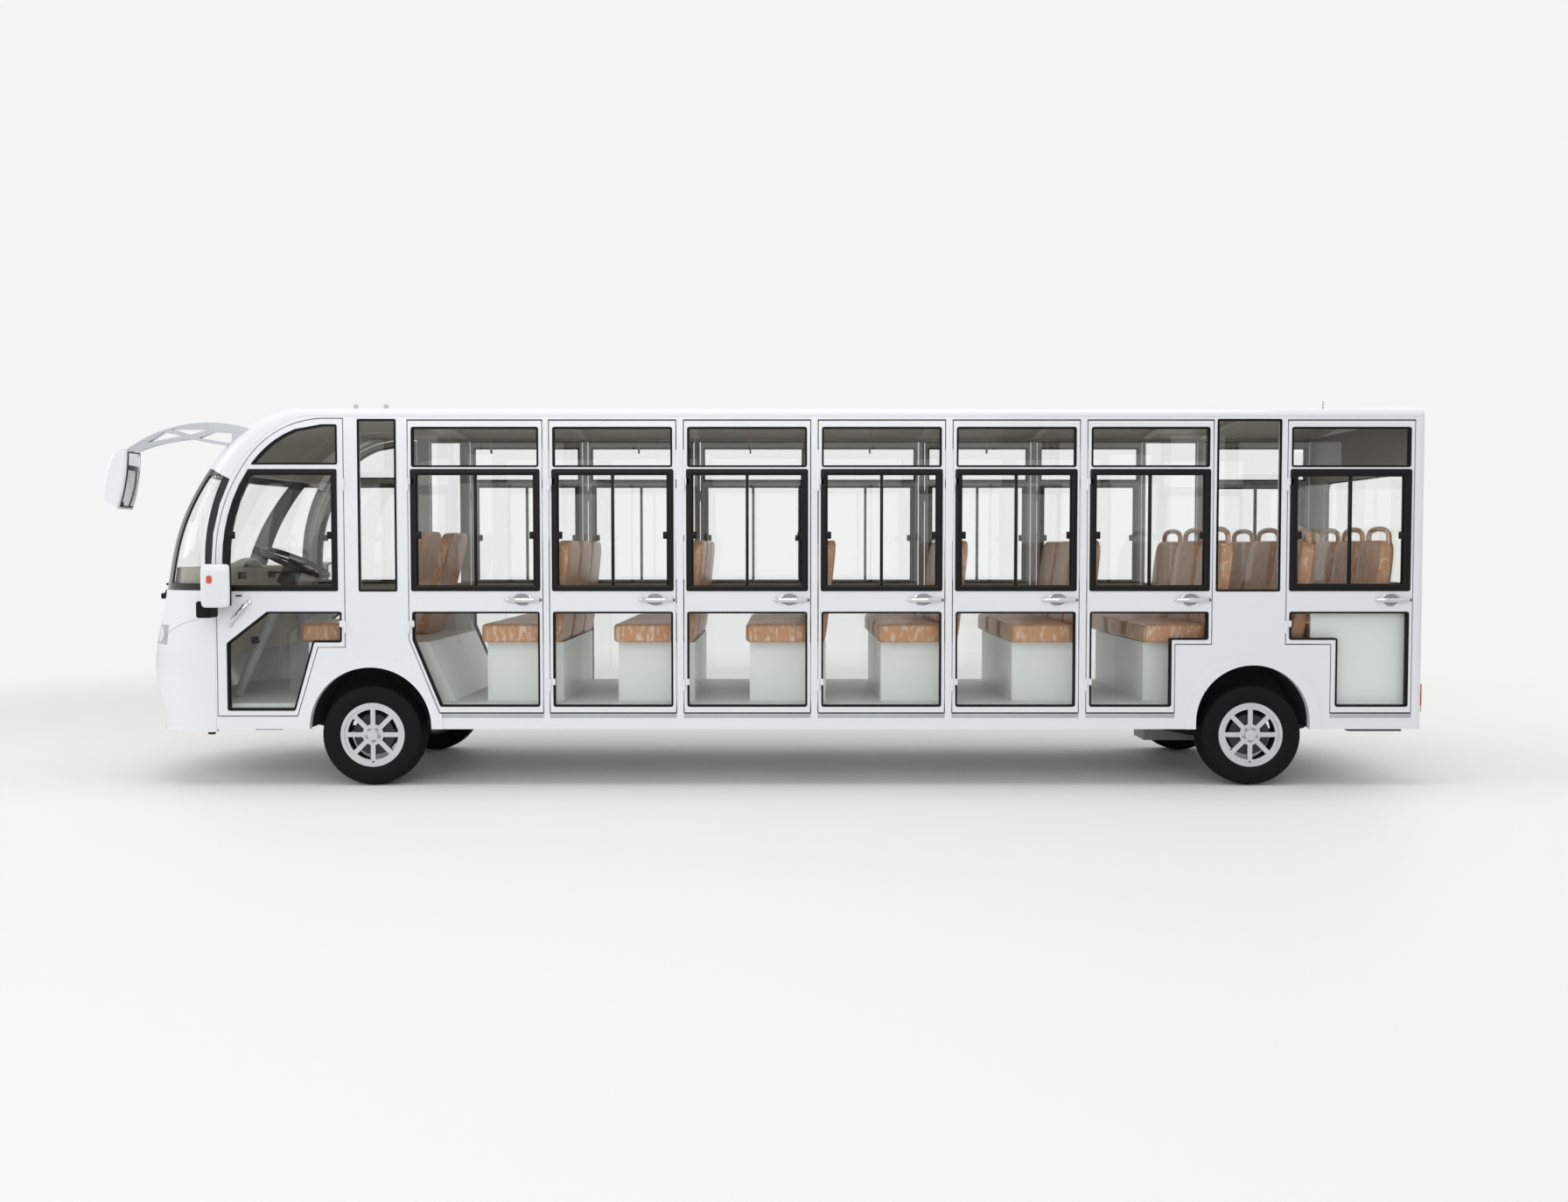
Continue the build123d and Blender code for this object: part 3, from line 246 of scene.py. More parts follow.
def piece(name, shape, material, body="root", smooth_deg=40.0):
    """A closed shape in millimetres from the front axle, as a mesh in metres that rides on a body."""
    points, faces = shape
    metres = np.asarray(points, float).reshape(-1, 3) * millimetre + (axle_x, 0, 0)
    mesh = bpy.data.meshes.new(name)
    mesh.from_pydata(metres.tolist(), [], faces)
    form = bmesh.new()
    form.from_mesh(mesh)
    bmesh.ops.recalc_face_normals(form, faces=form.faces)
    form.to_mesh(mesh)
    form.free()
    mesh.materials.append(material)
    mesh.shade_smooth()
    mesh.set_sharp_from_angle(angle=np.radians(smooth_deg))
    made = bpy.data.objects.new(name, mesh)
    scene.collection.objects.link(made)
    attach(made, body)
    return made


def pair(name, shape, material, body="root", smooth_deg=40.0):
    """A piece on the left and its mirror image on the right; a star in a name stands for the side."""
    points, faces = shape
    points = np.asarray(points, float).reshape(-1, 3)
    made = {}
    for side, across in (("left", 1), ("right", -1)):
        there = (points * (1, across, 1), faces)
        made[side] = piece(name.replace("*", side), there, material, body.replace("*", side), smooth_deg)
    return made


def turned(profile, axis, steps, sink):
    """Closed (across, radius) profile carried round an axle: x = r sin t, z = r cos t.

    sink(step, row) is how far each point lies nearer the axle than its profile says.
    """
    turn = np.linspace(0, 2 * np.pi, steps, endpoint=False)[:, None]
    radius = profile[None, :, 1] - sink
    y = axis[1] + profile[None, :, 0] + 0 * turn
    points = np.stack([axis[0] + radius * np.sin(turn), y, axis[2] + radius * np.cos(turn)], -1)
    return points, grid_faces(steps, len(profile), True, True)


# half of the tyre's section: distance from the middle plane, radius
tyre_half = [
    (62.4, 166.2), (62.4, 178.0), (72.2, 179.5), (78.5, 190.0), (81.4, 205.0), (82.4, 222.0), (81.6, 240.0),
    (79.4, 254.0), (77.4, 258.0), (76.2, 266.0), (72.0, 271.5), (66.0, 274.6), (60.0, 276.0), (58.0, 276.2),
    (48.0, 278.0), (35.0, 279.3), (33.0, 279.4), (26.0, 279.6), (24.0, 279.7), (12.0, 280.2), (4.5, 280.4),
    (2.5, 280.4),
]
tread_radius = 270.0
groove_edges = [(26.0, 33.0), (0.0, 2.6)]
groove_depth = 7.0
cut_count, cut_steps, cut_depth = 62, 6, 5.0
# cuts stop short of the middle groove, and each moves on by a step over this width of tread
cut_clear, cut_slant = 3.0, 18.0
half_section = np.array(tyre_half)
section = np.concatenate([half_section, half_section[::-1] * (-1, 1)])
across = np.abs(section[:, 0])
on_tread = section[:, 1] > tread_radius
in_groove = on_tread & np.any([(across >= low) & (across <= high) for low, high in groove_edges], 0)
in_rib = on_tread & ~in_groove & (across > cut_clear)
tread_steps = cut_count * cut_steps
step_number = np.arange(tread_steps)[:, None]
slant = np.round(section[:, 0] / cut_slant).astype(int)[None, :]
in_cut = ((step_number + slant) % cut_steps) == 0
sink = np.where(in_groove, groove_depth, 0) + np.where(in_rib & in_cut, cut_depth, 0)

# vulcanised carbon-black rubber: very dark, dull, a fine moulded skin
dull = {"Specular IOR Level": 0.18}
tyre_rubber = blotched("vulcanised_tyre_rubber", "#070809", "#0d0e0f", 60, dull, 0.25, 2, (0.62, 0.8))
# silver lacquered steel: fine metallic flake under clear lacquer, and painted shade, near black, on all of
# the wheel behind the rim's face
flake = {"Metallic": 0.75, "Coat Weight": 0.4, "Coat Roughness": 0.12}
wheel_lacquer = blotched("silver_lacquered_steel", "#c3c6c9", "#cfd2d4", 30, flake, 0.05, 1, (0.3, 0.4))
rim_face_y = 0.702
tree = wheel_lacquer.node_tree
surface = tree.nodes["Principled BSDF"]
silver = surface.inputs["Base Color"].links[0].from_socket
where = add(tree, "TexCoord").outputs["Object"]
span = add(tree, "SeparateXYZ", None, Vector=where).outputs["Y"]
span = add(tree, "Math", {"operation": "ABSOLUTE"}, i0=span).outputs[0]
# painted shade: all of the wheel that lies behind the rim's face is painted near black
behind = add(tree, "Math", {"operation": "LESS_THAN", 1: rim_face_y}, i0=span).outputs[0]
shade_behind_face = add(tree, "MixRGB", {"Color2": linear("#26282a")}, Fac=behind, Color1=silver)
tree.links.new(shade_behind_face.outputs[0], surface.inputs["Base Color"])
# zinc-plated nuts: bright with a yellowish grey cast
bare_metal = {"Metallic": 1.0}
zinc_plate = blotched("zinc_plated_steel", "#b3b4b2", "#9c9d9b", 6, bare_metal, 0.05, 1, (0.25, 0.4))
nut_radius, nut_height, nut_circle, nut_count = 8.5, 12.0, 36.0, 5
valve_radius, valve_length, valve_circle = 4.0, 26.0, 150.0
# rings as distance out and radius; what they stand on lies this far behind the hub's outermost face
nut_rings = np.array([(-2, nut_radius), (nut_height - 3, nut_radius), (nut_height, nut_radius - 2.5)])
cap_rings = np.array([(-1, 19), (7, 19), (10, 17), (11.5, 12), (12, 4)])
stem_top = valve_length - 8
stem_rings = np.array([(-6, valve_radius), (stem_top - 6, valve_radius), (stem_top, valve_radius - 1)])
cap_seat, nut_seat, stem_seat = 11.6, 10.0, 16.0


def disc_stack(rings, axis_x, axis_y, axis_z, steps=24):
    """Solid of revolution about an axle from (across, radius) rings, closed by a face at both ends."""
    across, radius = np.array(rings, float).T[:, :, None]
    turn = np.linspace(0, 2 * np.pi, steps, endpoint=False)[None, :]
    y = axis_y + across + 0 * turn
    points = np.stack([axis_x + radius * np.sin(turn), y, axis_z + radius * np.cos(turn)], -1)
    return points, tube_faces(len(across), steps)


axle_z = tyre_middle_z / millimetre
for end, place_x in wheel_places.items():
    station = (place_x - axle_x) / millimetre
    for side, sign in (("left", -1), ("right", 1)):
        wheel = f"{end}_{side}"
        body = "wheel_" + wheel
        middle = (station, sign * tyre_middle_y / millimetre, axle_z)
        treaded = turned(section, middle, tread_steps, sink)
        tyre = piece("treaded_tyre_" + wheel, treaded, tyre_rubber, body, 35)
        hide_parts("tyre_" + wheel)
        dress(wheel_lacquer, "rim_" + wheel)
        rim_low, rim_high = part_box("rim_" + wheel)
        hub_y = (rim_low[1] if sign < 0 else rim_high[1]) / millimetre
        outward = (sign, 1)
        nuts = []
        for k in range(nut_count):
            turn = 2 * np.pi * (k + 0.5) / nut_count
            spot_x, spot_z = station + nut_circle * np.sin(turn), axle_z + nut_circle * np.cos(turn)
            nuts.append(disc_stack(nut_rings * outward, spot_x, hub_y - sign * nut_seat, spot_z, 6))
        cap = disc_stack(cap_rings * outward, station, hub_y - sign * cap_seat, axle_z, 32)
        stem_z = axle_z - valve_circle
        stem = disc_stack(stem_rings * outward, station, hub_y - sign * stem_seat, stem_z, 12)
        piece("wheel_nuts_" + wheel, gather(nuts), zinc_plate, body, 30)
        piece("hub_cap_" + wheel, cap, wheel_lacquer, body, 30)
        piece("valve_stem_" + wheel, stem, tyre_rubber, body, 30)

# Shell
# Hand-laid glass-fibre panels with a glossy white gel coat, so the skin is smooth with a faint long wave.
# Behind the skin the posts and door frames are painted grey, olive-grey above the waist: painted shade on
# the inside of the white shell.

skin_depth = 0.7205
waist_z = 1.03
back_skin_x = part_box("rear_panel")[1][0] - 0.012
gel_white, gel_shade = "#eff1f6", "#ebeef3"

# polished gel coat: white and glossy outside |y| of skin_depth and at the very back; inside, dull, and
# painted grey as painted shade, olive-grey above the waist
gel_coat_white, tree, out = new_tree("polished_white_gel_coat")
where = add(tree, "TexCoord").outputs["Object"]
axes = add(tree, "SeparateXYZ", None, Vector=where)
span = add(tree, "Math", {"operation": "ABSOLUTE"}, i0=axes.outputs["Y"])
inside = add(tree, "Math", {"operation": "LESS_THAN", 1: skin_depth}, i0=span.outputs[0])
ahead = add(tree, "Math", {"operation": "LESS_THAN", 1: back_skin_x}, i0=axes.outputs["X"])
inside = add(tree, "Math", {"operation": "MULTIPLY"}, i0=inside.outputs[0], i1=ahead.outputs[0])
high = add(tree, "Math", {"operation": "GREATER_THAN", 1: waist_z}, i0=axes.outputs["Z"])
cloud = add(tree, "TexNoise", {"Scale": 1.4, "Detail": 3.0}, Vector=where)
whites = {"Color1": linear(gel_white), "Color2": linear(gel_shade)}
white = add(tree, "MixRGB", whites, Fac=cloud.outputs["Fac"])
# painted shade: inside the skin the white is painted pale grey below the waist and olive-grey above it
shaded_greys = {"Color1": linear("#c4c9c7"), "Color2": linear("#8b8c84")}
shaded_lining = add(tree, "MixRGB", shaded_greys, Fac=high.outputs[0])
colour = add(tree, "MixRGB", None, Fac=inside.outputs[0], Color1=white.outputs[0], Color2=shaded_lining.outputs[0])
gloss = add(tree, "MapRange", {"To Min": 0.22, "To Max": 0.6}, Value=inside.outputs[0])
coat = add(tree, "MapRange", {"To Min": 0.5, "To Max": 0.0}, Value=inside.outputs[0])
wave = add(tree, "TexNoise", {"Scale": 9.0, "Detail": 1.0}, Vector=where)
relief = add(tree, "Bump", {"Distance": 0.0006, "Strength": 0.25}, Height=wave.outputs["Fac"])
surface = add(tree, "BsdfPrincipled", {"Coat Roughness": 0.06}, Base_Color=colour.outputs[0])
tree.links.new(gloss.outputs[0], surface.inputs["Roughness"])
tree.links.new(coat.outputs[0], surface.inputs["Coat Weight"])
tree.links.new(relief.outputs[0], surface.inputs["Normal"])
tree.links.new(surface.outputs[0], out.inputs["Surface"])

# the same gel coat without the painted shade inside: the nose and the wing mirrors' shells
clear_coat = {"Coat Weight": 0.5, "Coat Roughness": 0.06}
gel_whites = (gel_white, gel_shade)
plain_gel_coat = blotched("smooth_white_gel_coat", *gel_whites, 700, clear_coat, 0.3, 110, (0.2, 0.26))
sides = ("left", "right")
dress(gel_coat_white, *(f"side_frame_{side}" for side in sides), "rear_panel")
dress(gel_coat_white, *(f"door_{side}_{n}" for side in sides for n in range(1, 9)))
dress(plain_gel_coat, "nose")
# pressed fibre liner: nearly black, rough and dull
liner_felt = blotched("moulded_fibre_wheel_liner", "#1e1f20", "#2a2b2b", 30, {}, 0.8, 3, (0.75, 0.9))
dress(liner_felt, "wheelhouses")

# Glass
# Toughened side panes, a little grey-green. Part of the glass is see-through outright, so that light
# reaches the cabin as it does through real thin panes.

glass_settings = {
    "Base Color": linear("#e4eee8"),
    "Roughness": 0.0,
    "IOR": 1.6,
    "Transmission Weight": 1.0,
    "Alpha": 0.1,
}
toughened_glass, tree, out = new_tree("toughened_side_glass")
surface = add(tree, "BsdfPrincipled", glass_settings)
tree.links.new(surface.outputs[0], out.inputs["Surface"])
dress(toughened_glass, "fixed_side_glass", "rear_window")

# Door windows
# Every door has a black anodised frame, with two sliding sashes on the passengers' doors. A fixed light
# over it and a fixed pane below are bonded into the door with a thin black seal. Heights and stations
# repeat the door solids' openings.

skin_y, door_inner_y = -750.0, -720.0
pane_thick, pane_middle_y = 5.0, -738.0
sash_low, sash_high = 1079.0, 1742.0
transom_low, transom_high = 1762.0, 1968.0
pane_low, pane_high = 446.0, 957.0
sash_border, transom_border, pane_border = 14.0, 24.0, 22.0
seal_width, seal_proud, seal_lap = 7.0, 1.5, 0.5
sash_corner, pane_corner = 10.0, 8.0
driver_sash_corner, driver_light_corner = 8.0, 6.0
arch_shelf = 815.0


def clockwise_free(corners):
    """Corners put in the order in which the inside lies to the left."""
    corners = np.array(corners, float)
    following = np.roll(corners, -1, 0)
    area = np.sum(corners[:, 0] * following[:, 1] - following[:, 0] * corners[:, 1])
    return corners if area > 0 else corners[::-1]


def rounded(corners, radius, inset=0.0, steps=6):
    """Outline drawn in by inset, each corner a parabola arc that leaves its sides at the radius."""
    corners = clockwise_free(corners)
    back, ahead = corners - np.roll(corners, 1, 0), np.roll(corners, -1, 0) - corners
    back_length = np.linalg.norm(back, axis=1)[:, None]
    ahead_length = np.linalg.norm(ahead, axis=1)[:, None]
    back, ahead = back / back_length, ahead / ahead_length
    left_back, left_ahead = back[:, ::-1] * (-1, 1), ahead[:, ::-1] * (-1, 1)
    spread = 1 + np.sum(left_back * left_ahead, 1)[:, None]
    moved = corners + inset * (left_back + left_ahead) / spread
    hollow = (back[:, 0] * ahead[:, 1] - back[:, 1] * ahead[:, 0])[:, None] < 0
    reach = np.where(hollow, radius + inset, radius - inset).clip(0.6)
    half_turn = np.sqrt(((2 - spread) / spread).clip(0))
    reach = np.minimum(reach * half_turn, np.minimum(back_length, ahead_length) * 0.42)
    start, end = (moved - back * reach)[:, None], (moved + ahead * reach)[:, None]
    share = np.linspace(0, 1, steps)[None, :, None]
    arcs = start * (1 - share) ** 2 + 2 * moved[:, None] * share * (1 - share) + end * share**2
    return arcs.reshape(-1, 2)


def ring(corners, radius, profile):
    """Closed (inset, y) profile carried round an outline in the side plane."""
    lines = []
    for inset, y in profile:
        edge = rounded(corners, radius, inset)
        lines.append(np.stack([edge[:, 0], np.full(len(edge), y), edge[:, 1]], -1))
    return np.stack(lines), grid_faces(len(lines), len(lines[0]), True, True)


def plate(corners, radius, inset, y_low, y_high):
    """Flat plate cut to an outline."""
    edge = rounded(corners, radius, inset)
    lines = [np.stack([edge[:, 0], np.full(len(edge), y), edge[:, 1]], -1) for y in (y_low, y_high)]
    return np.stack(lines), tube_faces(2, len(edge))


def crosswise(shape):
    """A shape from the side plane, set across the bus: x and y change places."""
    points, faces = shape
    return points[..., [1, 0, 2]], faces


def cuboid(x_low, x_high, y_low, y_high, z_low, z_high, soft=1.5):
    """Bar with all twelve edges cut off: four outlines along Z, the outer two drawn in."""
    s = min(soft, (x_high - x_low) / 3, abs(y_high - y_low) / 3, (z_high - z_low) / 3)
    y_low, y_high = sorted((y_low, y_high))

    def level(z, draw):
        a, b, c, d = x_low + draw, x_high - draw, y_low + draw, y_high - draw
        cut = [(a + s, c), (b - s, c), (b, c + s), (b, d - s)]
        cut += [(b - s, d), (a + s, d), (a, d - s), (a, c + s)]
        return [(x, y, z) for x, y in cut]

    lines = [level(z_low, s / 2), level(z_low + s, 0), level(z_high - s, 0), level(z_high, s / 2)]
    return lines, tube_faces(4, 8)


# front and rear edge of each door: the first is the driver's, the last is behind the rear wheel
door_edges = {
    1: (-838, -139),
    2: (218, 949),
    3: (991, 1681),
    4: (1728, 2418),
    5: (2465, 3155),
    6: (3202, 3892),
    7: (3939, 4622),
    8: (5034, 5722),
}
arch_door_edge = {7: 4421, 8: 5283}
# driver's door: rail round the upper window, its curve, its light's heights, and the edge over the arch
driver_rail, driver_front_rail = 36.0, 35.0
curve_centre = np.array([-252.0, 1230.0])
curve_radii = np.array([586.0, 788.0]) - driver_rail
driver_light_low, driver_light_high = 1776, 1982
heel_top, heel_foot = (-289, 771), (-405, 391)
heel_slope = (heel_top[0] - heel_foot[0]) / (heel_top[1] - heel_foot[1])
heel_rail, front_slant = 30, 1.4
# the second door's front edge runs straight down to the wedge's top, then slants back to its foot
wedge_run, wedge_top, wedge_foot = 164, 811, 409
wedge_slope = wedge_run / (wedge_top - wedge_foot)
# the last door's lower pane keeps further off the arch
arch_gap = 8


def quarter(low_z, high_z, count=9):
    """Points of the driver's window edge, an ellipse quarter, from one height up to another."""
    height = np.linspace(low_z, high_z, count)
    share = ((height - curve_centre[1]) / curve_radii[1]).clip(0, 1)
    return np.stack([curve_centre[0] - curve_radii[0] * np.sqrt(1 - share**2), height], -1).tolist()


def box_corners(x_low, x_high, z_low, z_high):
    return [(x_low, z_low), (x_high, z_low), (x_high, z_high), (x_low, z_high)]


def lower_corners(n):
    """Lower pane's outline: cut back over the wheel arches on doors 1, 2, 7 and 8."""
    left, right = door_edges[n][0] + pane_border, door_edges[n][1] - pane_border
    top = [(right, pane_high), (left, pane_high)]
    if n == 1:
        left += driver_front_rail
        inner = heel_top[1] + heel_rail
        heel, foot = heel_top[0] - pane_border, pane_low - pane_border
        slant_x = left + (pane_high - inner) * front_slant
        rear = [(heel - heel_slope * (inner - pane_low), foot), (heel, inner), (right, inner), top[0]]
        return [(left, foot), *rear, (slant_x, pane_high), (left, inner - sash_border)]
    if n == 2:
        low_x = left + wedge_slope * (wedge_top - pane_low)
        return [(left, pane_high), (left, wedge_top), (low_x, pane_low), (right, pane_low), top[0]]
    if n == 7:
        inner = arch_door_edge[n] - pane_border
        return [(left, pane_low), (inner, pane_low), (inner, arch_shelf), (right, arch_shelf), *top]
    if n == 8:
        inner = arch_door_edge[n] + pane_border + arch_gap
        return [(left, arch_shelf), (inner, arch_shelf), (inner, pane_low), (right, pane_low), *top]
    return box_corners(left, right, pane_low, pane_high)


def window_corners(n):
    """Sash and transom outlines of a door."""
    left, right = door_edges[n]
    if n == 1:
        rear = right - driver_rail
        low = quarter(sash_low, sash_high)
        high = quarter(driver_light_low, driver_light_high)
        light = [(rear, driver_light_high), (rear, driver_light_low), *high]
        return [(rear, sash_high), (rear, sash_low), *low], light
    return (
        box_corners(left + sash_border, right - sash_border, sash_low, sash_high),
        box_corners(left + transom_border, right - transom_border, transom_low, transom_high),
    )


# black anodised aluminium: satin, with faint drawn lines
satin = {"Specular IOR Level": 0.22}
anodised_black = blotched("black_anodised_aluminium", "#060606", "#0c0c0c", 35, satin, 0.06, 1, (0.32, 0.44))
# extruded EPDM seal: dull black rubber
matt_rubber = {"Specular IOR Level": 0.2}
seal_rubber = blotched("extruded_seal_rubber", "#080808", "#0f0f0f", 20, matt_rubber, 0.15, 1, (0.6, 0.75))

frame_width = {n: 30.0 for n in door_edges} | {8: 38.0}
# the frame's flange on the skin, and the channel for the sashes inside the opening
flange_lap, flange_proud, flange_soft = 3.0, 4.0, 2.0
flange_face, flange_edge = skin_y - flange_proud, skin_y - flange_proud + 1.5
channel_depth, channel_back = 10.0, door_inner_y + 2
stile, latch_z, latch_half, latch_deep = 6.0, 1383.0, 20.0, 25.0
# mullion, stiles and latches: how far behind the skin they start and end, and how far they enter the frame
mullion_half, mullion_y, mullion_bite = 8, (skin_y + 1, skin_y + 22), 8
stile_y, stile_bite = (skin_y + 4, skin_y + 18), 20
latch_y, latch_bite, latch_soft = (skin_y - 6, skin_y + 12), 4, 4
# sliding panes: hold in the frame, lap over the middle, and each one's place behind the skin
slide_bite, slide_lap, slide_corner = 12, 15, 6
slide_front, slide_rear, driver_slide = skin_y + 6, skin_y + 17, skin_y + 8

seal_face, seal_back = skin_y - seal_proud, door_inner_y + seal_proud
seal_profile = [(-seal_width, skin_y), (-seal_width, seal_face), (seal_width / 2, seal_face)]
seal_profile += [(seal_width / 2, seal_back), (-seal_width, seal_back)]
seal_profile += [(-seal_width, door_inner_y), (seal_lap, door_inner_y), (seal_lap, skin_y)]
pane_y = (pane_middle_y - pane_thick / 2, pane_middle_y + pane_thick / 2)
pane_inset = 1.0

for n in door_edges:
    sash, transom = window_corners(n)
    wide = frame_width[n]
    channel = [(-flange_lap, skin_y), (-flange_lap, flange_edge), (flange_soft - flange_lap, flange_face)]
    channel += [(wide - flange_soft, flange_face), (wide, flange_edge), (wide, channel_back)]
    channel += [(channel_depth, channel_back), (channel_depth, skin_y)]
    corner = sash_corner if n > 1 else driver_sash_corner
    bars = [ring(sash, corner, channel)]
    ends = np.array(sash)[:, 0]
    left, right = ends.min(), ends.max()
    middle = (left + right) / 2
    if n > 1:
        rail_z = (sash_low + mullion_bite, sash_high - mullion_bite)
        bars.append(cuboid(middle - mullion_half, middle + mullion_half, *mullion_y, *rail_z))
    stile_z = (sash_low + stile_bite, sash_high - stile_bite)
    # the driver's front latch sits where the curved edge is at its height
    latch_left = left if n > 1 else quarter(latch_z, latch_z, 1)[0][0]
    for end_x, toward in ((latch_left, 1), (right, -1)):
        if n > 1:
            x = sorted((end_x + toward * (wide - 1), end_x + toward * (wide + stile)))
            bars.append(cuboid(*x, *stile_y, *stile_z))
        x = sorted((end_x + toward * (wide - latch_bite), end_x + toward * (wide + latch_deep)))
        bars.append(cuboid(*x, *latch_y, latch_z - latch_half, latch_z + latch_half, latch_soft))
    bonded = [(lower_corners(n), pane_corner), (transom, pane_corner if n > 1 else driver_light_corner)]
    seals = [ring(outline, radius, seal_profile) for outline, radius in bonded]
    sheets = [plate(outline, radius, pane_inset, *pane_y) for outline, radius in bonded]
    if n > 1:
        slide_z = (sash_low + slide_bite, sash_high - slide_bite)
        front_x, rear_x = (left + slide_bite, middle + slide_lap), (middle - slide_lap, right - slide_bite)
        for slide_x, y in ((front_x, slide_front), (rear_x, slide_rear)):
            sheets.append(plate(box_corners(*slide_x, *slide_z), slide_corner, 0, y, y + pane_thick))
    else:
        sheets.append(plate(sash, corner, slide_bite, driver_slide, driver_slide + pane_thick))
    pair(f"sash_frame_*_{n}", gather(bars), anodised_black, f"door_*_{n}")
    pair(f"pane_seals_*_{n}", gather(seals), seal_rubber, f"door_*_{n}")
    pair(f"door_glass_*_{n}", gather(sheets), toughened_glass, f"door_*_{n}")

# Windscreen and fixed panes
# Laminated glass wraps round the front, bonded on a fired black border about 38 mm wide, with a black strip
# where it turns each corner. The narrow panes behind the cab and over the rear wheels, and the rear window,
# are held in black rubber.

border = 0.038
seam_centre = (curve_centre[0] * millimetre + axle_x, curve_centre[1] * millimetre)
seam_radii = (0.612, 0.814)
screen_foot_z, top_edge_z = 1.081, 1.712
# black strip at each corner of the windscreen: it moves outward with height as the corner tightens
strip_in_slope, strip_in = 0.176, 0.325
strip_out_slope, strip_out = 0.118, 0.505

laminated_glass, tree, out = new_tree("laminated_windscreen_glass")
where = add(tree, "TexCoord").outputs["Object"]
axes = add(tree, "SeparateXYZ", None, Vector=where)
along = add(tree, "Math", {"operation": "SUBTRACT", 1: seam_centre[0]}, i0=axes.outputs["X"])
along = add(tree, "Math", {"operation": "DIVIDE", 1: seam_radii[0]}, i0=along.outputs[0])
above = add(tree, "Math", {"operation": "SUBTRACT", 1: seam_centre[1]}, i0=axes.outputs["Z"])
above = add(tree, "Math", {"operation": "DIVIDE", 1: seam_radii[1]}, i0=above.outputs[0])
above = add(tree, "Math", {"operation": "MAXIMUM", 1: 0.0}, i0=above.outputs[0])
spread = add(tree, "CombineXYZ", None, X=along.outputs[0], Y=above.outputs[0])
spread = add(tree, "VectorMath", {"operation": "LENGTH"}, i0=spread.outputs[0])
near_seam = {"operation": "LESS_THAN", 1: 1 + border / seam_radii[0]}
near_post = add(tree, "Math", near_seam, i0=spread.outputs["Value"])
low = add(tree, "Math", {"operation": "LESS_THAN", 1: screen_foot_z + border}, i0=axes.outputs["Z"])
high = add(tree, "Math", {"operation": "GREATER_THAN", 1: top_edge_z}, i0=axes.outputs["Z"])
span = add(tree, "Math", {"operation": "ABSOLUTE"}, i0=axes.outputs["Y"]).outputs[0]
lean_in = {"operation": "MULTIPLY_ADD", 1: -strip_in_slope}
past_in = add(tree, "Math", lean_in, i0=axes.outputs["Z"], i2=span)
past_in = add(tree, "Math", {"operation": "GREATER_THAN", 1: strip_in}, i0=past_in.outputs[0])
lean_out = {"operation": "MULTIPLY_ADD", 1: -strip_out_slope}
short_out = add(tree, "Math", lean_out, i0=axes.outputs["Z"], i2=span)
short_out = add(tree, "Math", {"operation": "LESS_THAN", 1: strip_out}, i0=short_out.outputs[0])
strip = add(tree, "Math", {"operation": "MULTIPLY"}, i0=past_in.outputs[0], i1=short_out.outputs[0])
edge = near_post
for mask in (low, high, strip):
    edge = add(tree, "Math", {"operation": "MAXIMUM"}, i0=edge.outputs[0], i1=mask.outputs[0])
clear = add(tree, "BsdfPrincipled", glass_settings)
fired_enamel = {"Base Color": linear("#060607"), "Roughness": 0.2, "Coat Weight": 0.25}
frit = add(tree, "BsdfPrincipled", fired_enamel)
both = add(tree, "MixShader", None, i0=edge.outputs[0], i1=clear.outputs[0], i2=frit.outputs[0])
tree.links.new(both.outputs[0], out.inputs["Surface"])
dress(laminated_glass, "windscreen")


def bead(half, face, proud, back, lap):
    """Rubber bead astride an opening's edge: proud of the face by one depth, and let into it by another."""
    outer = [(-half, face), (-half, face + proud), (half, face + proud)]
    return outer + [(half, face + back), (lap, face + back), (lap, face)]


fixed_panes = {"front": (-53, 148), "rear": (4649, 4991)}
fixed_low, fixed_high, fixed_corner = 1080.0, 2012.0, 5.0
fixed_bead = bead(6, skin_y, -seal_proud, 6, 0.4)
for name, (low_x, high_x) in fixed_panes.items():
    rubber = ring(box_corners(low_x, high_x, fixed_low, fixed_high), fixed_corner, fixed_bead)
    pair(f"fixed_pane_seal_*_{name}", rubber, seal_rubber)

rear_skin_x = (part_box("rear_panel")[1][0] - axle_x) / millimetre
rear_window_half, rear_window_z, rear_corner = 560, (1110, 1735), 60.0
rear_corners = box_corners(-rear_window_half, rear_window_half, *rear_window_z)
rear_rubber = ring(rear_corners, rear_corner, bead(8, rear_skin_x, 2, -13, 0.5))
piece("rear_window_seal", crosswise(rear_rubber), seal_rubber)

# Door surround
# Over each door lies a black drip seal, another closes the gap below it, and a light grey strip under the
# doors along the sill is painted shade of the step there.

# pale bluish grey, dull: moulded PVC on the plate carrier and vent caps, painted shade in the strips along
# the sill and the line along the nose crease
grey_moulding_and_shade = blotched("grey_moulding_and_painted_shade", "#b4b8c2", "#bec2cb", 50, {}, 0.1, 2, (0.4, 0.5))
drip_z, foot_gap_z, sill_shade_z = (2008.8, 2015.2), (401.6, 407.6), (378.0, 402.0)
drip_y, foot_y, sill_shade_y = (skin_y - 1, skin_y + 20), (skin_y - 1.5, skin_y + 20), (skin_y - 1.2, skin_y + 1)
drip_overrun, sill_shade_overrun, seal_soft, sill_shade_soft = 3, 4, 0.5, 0.6
